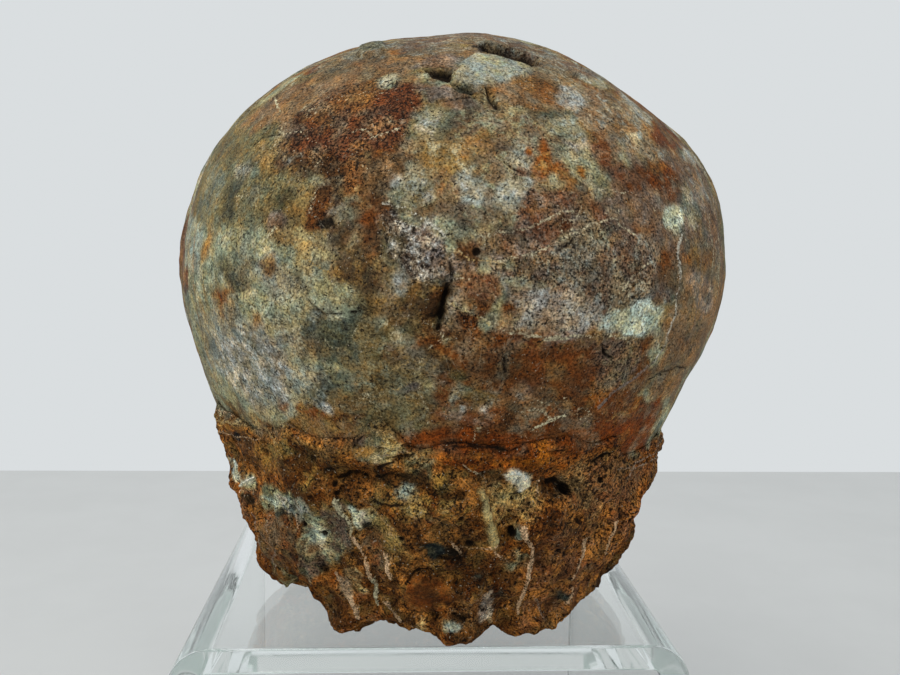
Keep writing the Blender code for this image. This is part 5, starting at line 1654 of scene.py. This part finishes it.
def stone_material(name, look):
    """Stone that takes its colours from the painted attributes and breaks them up into grains."""
    n = Nodes(name)
    share, pores, specks = n.split(n.painted("mixing"))
    vein, crack, cavity = n.split(n.painted("edges"))
    fleck_noise = n.noise(look["fleck_size"], *FLECK_DETAIL)
    fine_noise = n.noise(look["grain_size"], *GRAIN_DETAIL)
    broad_noise = n.noise(*BROAD_CLOUDS)
    flecks = n.ramp(n.maths("MULTIPLY_ADD", share, 0.42, fleck_noise), look["fleck_low"], look["fleck_high"])
    colour = n.mix(flecks, n.painted("body"), n.painted("fleck"))
    # Warmer and cooler clouds, then light and dark grains.
    tint = n.mix(n.ramp(n.noise(*TINT_CLOUDS), 0.38, 0.62), COOL_TINT, WARM_TINT)
    colour = n.mix(1.0, colour, tint, "MULTIPLY")
    strength = n.maths("MULTIPLY_ADD", pores, look["grain_gain"], look["grain"])
    grain = n.maths("MULTIPLY_ADD", n.ramp(fine_noise, 0.34, 0.66, -1.0, 1.0, "LINEAR"), strength, 1.0)
    mottle = n.ramp(broad_noise, 0.3, 0.7, 1.0 - look["mottle"], 1.0 + look["mottle"], "LINEAR")
    colour = n.scaled(colour, n.maths("MULTIPLY", grain, mottle))
    # White specks, and the thin lines that run all over: pale lines, and dark lines painted as the shade of
    # crevices.
    speck_noise = n.noise(*SPECK_GRAINS)
    white = n.ramp(n.maths("MULTIPLY_ADD", specks, 0.12, speck_noise), 0.73, 0.77, 0.0, 0.8)
    colour = n.mix(white, colour, SPECK)
    line_noise = n.noise(look["line_size"], *LINE_DETAIL)
    line = n.maths("ABSOLUTE", n.maths("SUBTRACT", line_noise, 0.5))
    patchy = n.noise(*LINE_CLOUDS)
    crevice_shade = n.maths("MULTIPLY", n.ramp(line, *LINE_RANGE, look["line_dark"], 0.0),
                        n.ramp(patchy, 0.46, 0.56))
    pale_line = n.maths("MULTIPLY", n.ramp(line, *LINE_RANGE, look["line_pale"], 0.0),
                        n.ramp(patchy, 0.40, 0.46, 1.0, 0.0))
    colour = n.mix(crevice_shade, colour, DEEP_SHADE)
    colour = n.mix(pale_line, colour, PALE_LINE)
    # Pores, placed veins, painted shade in hollows, and placed cracks and pits painted near-black as shade.
    pore_noise = n.noise(look["pore_size"], *PORE_DETAIL)
    dark = n.ramp(n.maths("MULTIPLY_ADD", pores, look["pore_gain"], pore_noise), 0.66, 0.72, 0.0, 0.85)
    colour = n.mix(dark, colour, PORE)
    jitter = n.ramp(fine_noise, 0.2, 0.8, -EDGE_JITTER, EDGE_JITTER, "LINEAR")
    vein_mask = n.ramp(n.maths("ADD", vein, jitter), *VEIN_EDGE)
    vein_fade = n.maths("MULTIPLY", vein_mask, n.ramp(broad_noise, 0.36, 0.5, look["vein_low"], 0.95))
    colour = n.mix(vein_fade, colour, n.scaled(n.painted("vein_colour"), grain))
    # Painted shade in the hollows.
    colour = n.mix(n.maths("MULTIPLY", cavity, look["cavity"]), colour, DEEP_SHADE)
    # Cracks and pits painted near-black as shade.
    crack_shade = n.ramp(n.maths("ADD", crack, jitter), *CRACK_EDGE, 0.0, 0.93)
    colour = n.mix(crack_shade, colour, CRACK_SHADE)
    deeper = n.add("Gamma", {"Color": colour, "Gamma": CONTRAST}).outputs["Color"]
    n.put(n.shader.inputs["Base Color"], n.scaled(deeper, MIDDLE_TONE ** (1.0 - CONTRAST)))
    n.put(n.shader.inputs["Roughness"], n.ramp(broad_noise, 0.35, 0.65, *look["rough"]))
    n.shader.inputs["Specular IOR Level"].default_value = STONE_SPECULAR
    height = n.maths("MULTIPLY_ADD", fine_noise, 0.6, n.maths("MULTIPLY", fleck_noise, 0.8))
    height = n.maths("SUBTRACT", height, n.maths("MULTIPLY", dark, 0.5))
    height = n.maths("SUBTRACT", height, crevice_shade)
    height = n.maths("MULTIPLY_ADD", broad_noise, 2.0, height)
    bump = n.add("Bump", {"Height": height, "Strength": BUMP_STRENGTH, "Distance": look["bump"] * MM})
    n.put(n.shader.inputs["Normal"], bump.outputs["Normal"])
    return n.material


def acrylic_material():
    n = Nodes("clear_acrylic")
    n.shader.inputs["Base Color"].default_value = ACRYLIC_TINT
    n.shader.inputs["Transmission Weight"].default_value = 1.0
    n.shader.inputs["IOR"].default_value = ACRYLIC_IOR
    n.put(n.shader.inputs["Roughness"], n.ramp(n.noise(*SCUFF_CLOUDS), 0.35, 0.7, *ACRYLIC_ROUGHNESS))
    volume = n.add("VolumeAbsorption")
    volume.inputs["Color"].default_value = ACRYLIC_BODY
    volume.inputs["Density"].default_value = ACRYLIC_DENSITY
    output = n.tree.nodes["Material Output"]
    n.tree.links.new(volume.outputs["Volume"], output.inputs["Volume"])
    return n.material


def floor_material():
    n = Nodes("pale_floor")
    tone = n.ramp(n.noise(*FLOOR_CLOUDS), 0.3, 0.7, *FLOOR_TONES)
    green = n.maths("MULTIPLY", tone, FLOOR_GREEN)
    colour = n.add("CombineColor", {"Red": tone, "Green": green, "Blue": tone})
    n.put(n.shader.inputs["Base Color"], colour.outputs["Color"])
    n.shader.inputs["Roughness"].default_value = FLOOR_ROUGHNESS
    return n.material


# ---- The room ----------------------------------------------------------------------------------

# In metres.
CLIP_RANGE = (0.01, 20.0)
FLOOR_SIDE = 1.6
FLOOR_FRONT = -1.2
FLOOR_BACK = 0.42
FLOOR_LEVEL = -0.0002                  # just clear of the riser's feet
LAMP_PLACE = (-0.3, -0.35, 1.1)
LAMP_AIM = (0.0, 0.0, 0.15)
LAMP_SIZE = 0.9
LAMP_POWER = 6.0
LAMP_COLOUR = (1.0, 0.98, 0.95)
ROOM_COLOUR = (0.70, 0.73, 0.745, 1.0)
LIGHT_BOUNCES = 40                     # enough for light to travel along the inside of the sheet


def add_camera():
    camera = bpy.data.cameras.new("camera")
    camera.sensor_width = SENSOR
    camera.lens = FOCAL_PIXELS * SENSOR / (VIEW_MIDDLE[0] * 2.0)
    camera.clip_start, camera.clip_end = CLIP_RANGE
    thing = add_object("camera", camera)
    right, up, forward = camera_axes()
    place = Matrix((right, up, -forward)).transposed().to_4x4()
    place.translation = Vector(CAMERA_PLACE) * MM
    thing.matrix_world = place
    bpy.context.scene.camera = thing


def add_lamp():
    light = bpy.data.lights.new("overhead", "AREA")
    light.shape = "RECTANGLE"
    light.size = LAMP_SIZE
    light.size_y = LAMP_SIZE
    light.energy = LAMP_POWER
    light.color = LAMP_COLOUR
    thing = add_object("overhead", light)
    thing.location = LAMP_PLACE
    thing.rotation_euler = (Vector(LAMP_AIM) - Vector(LAMP_PLACE)).to_track_quat("-Z", "Y").to_euler()


def add_room():
    floor = bpy.data.meshes.new("floor")
    corners = [(-FLOOR_SIDE, FLOOR_FRONT, FLOOR_LEVEL), (FLOOR_SIDE, FLOOR_FRONT, FLOOR_LEVEL),
               (FLOOR_SIDE, FLOOR_BACK, FLOOR_LEVEL), (-FLOOR_SIDE, FLOOR_BACK, FLOOR_LEVEL)]
    floor.from_pydata(corners, [], [(0, 1, 2, 3)])
    floor.materials.append(floor_material())
    thing = add_object("floor", floor)
    world = bpy.data.worlds.new("studio")
    world.use_nodes = True
    background = world.node_tree.nodes["Background"]
    background.inputs["Color"].default_value = ROOM_COLOUR
    background.inputs["Strength"].default_value = 1.0
    bpy.context.scene.world = world
    add_lamp()
    bpy.context.scene.view_settings.view_transform = "Standard"
    bpy.context.scene.cycles.max_bounces = LIGHT_BOUNCES
    bpy.context.scene.cycles.transmission_bounces = LIGHT_BOUNCES
    bpy.context.scene.cycles.glossy_bounces = LIGHT_BOUNCES


def main():
    add_camera()
    add_room()
    build_stand()
    build_rock(*build_egg())


main()
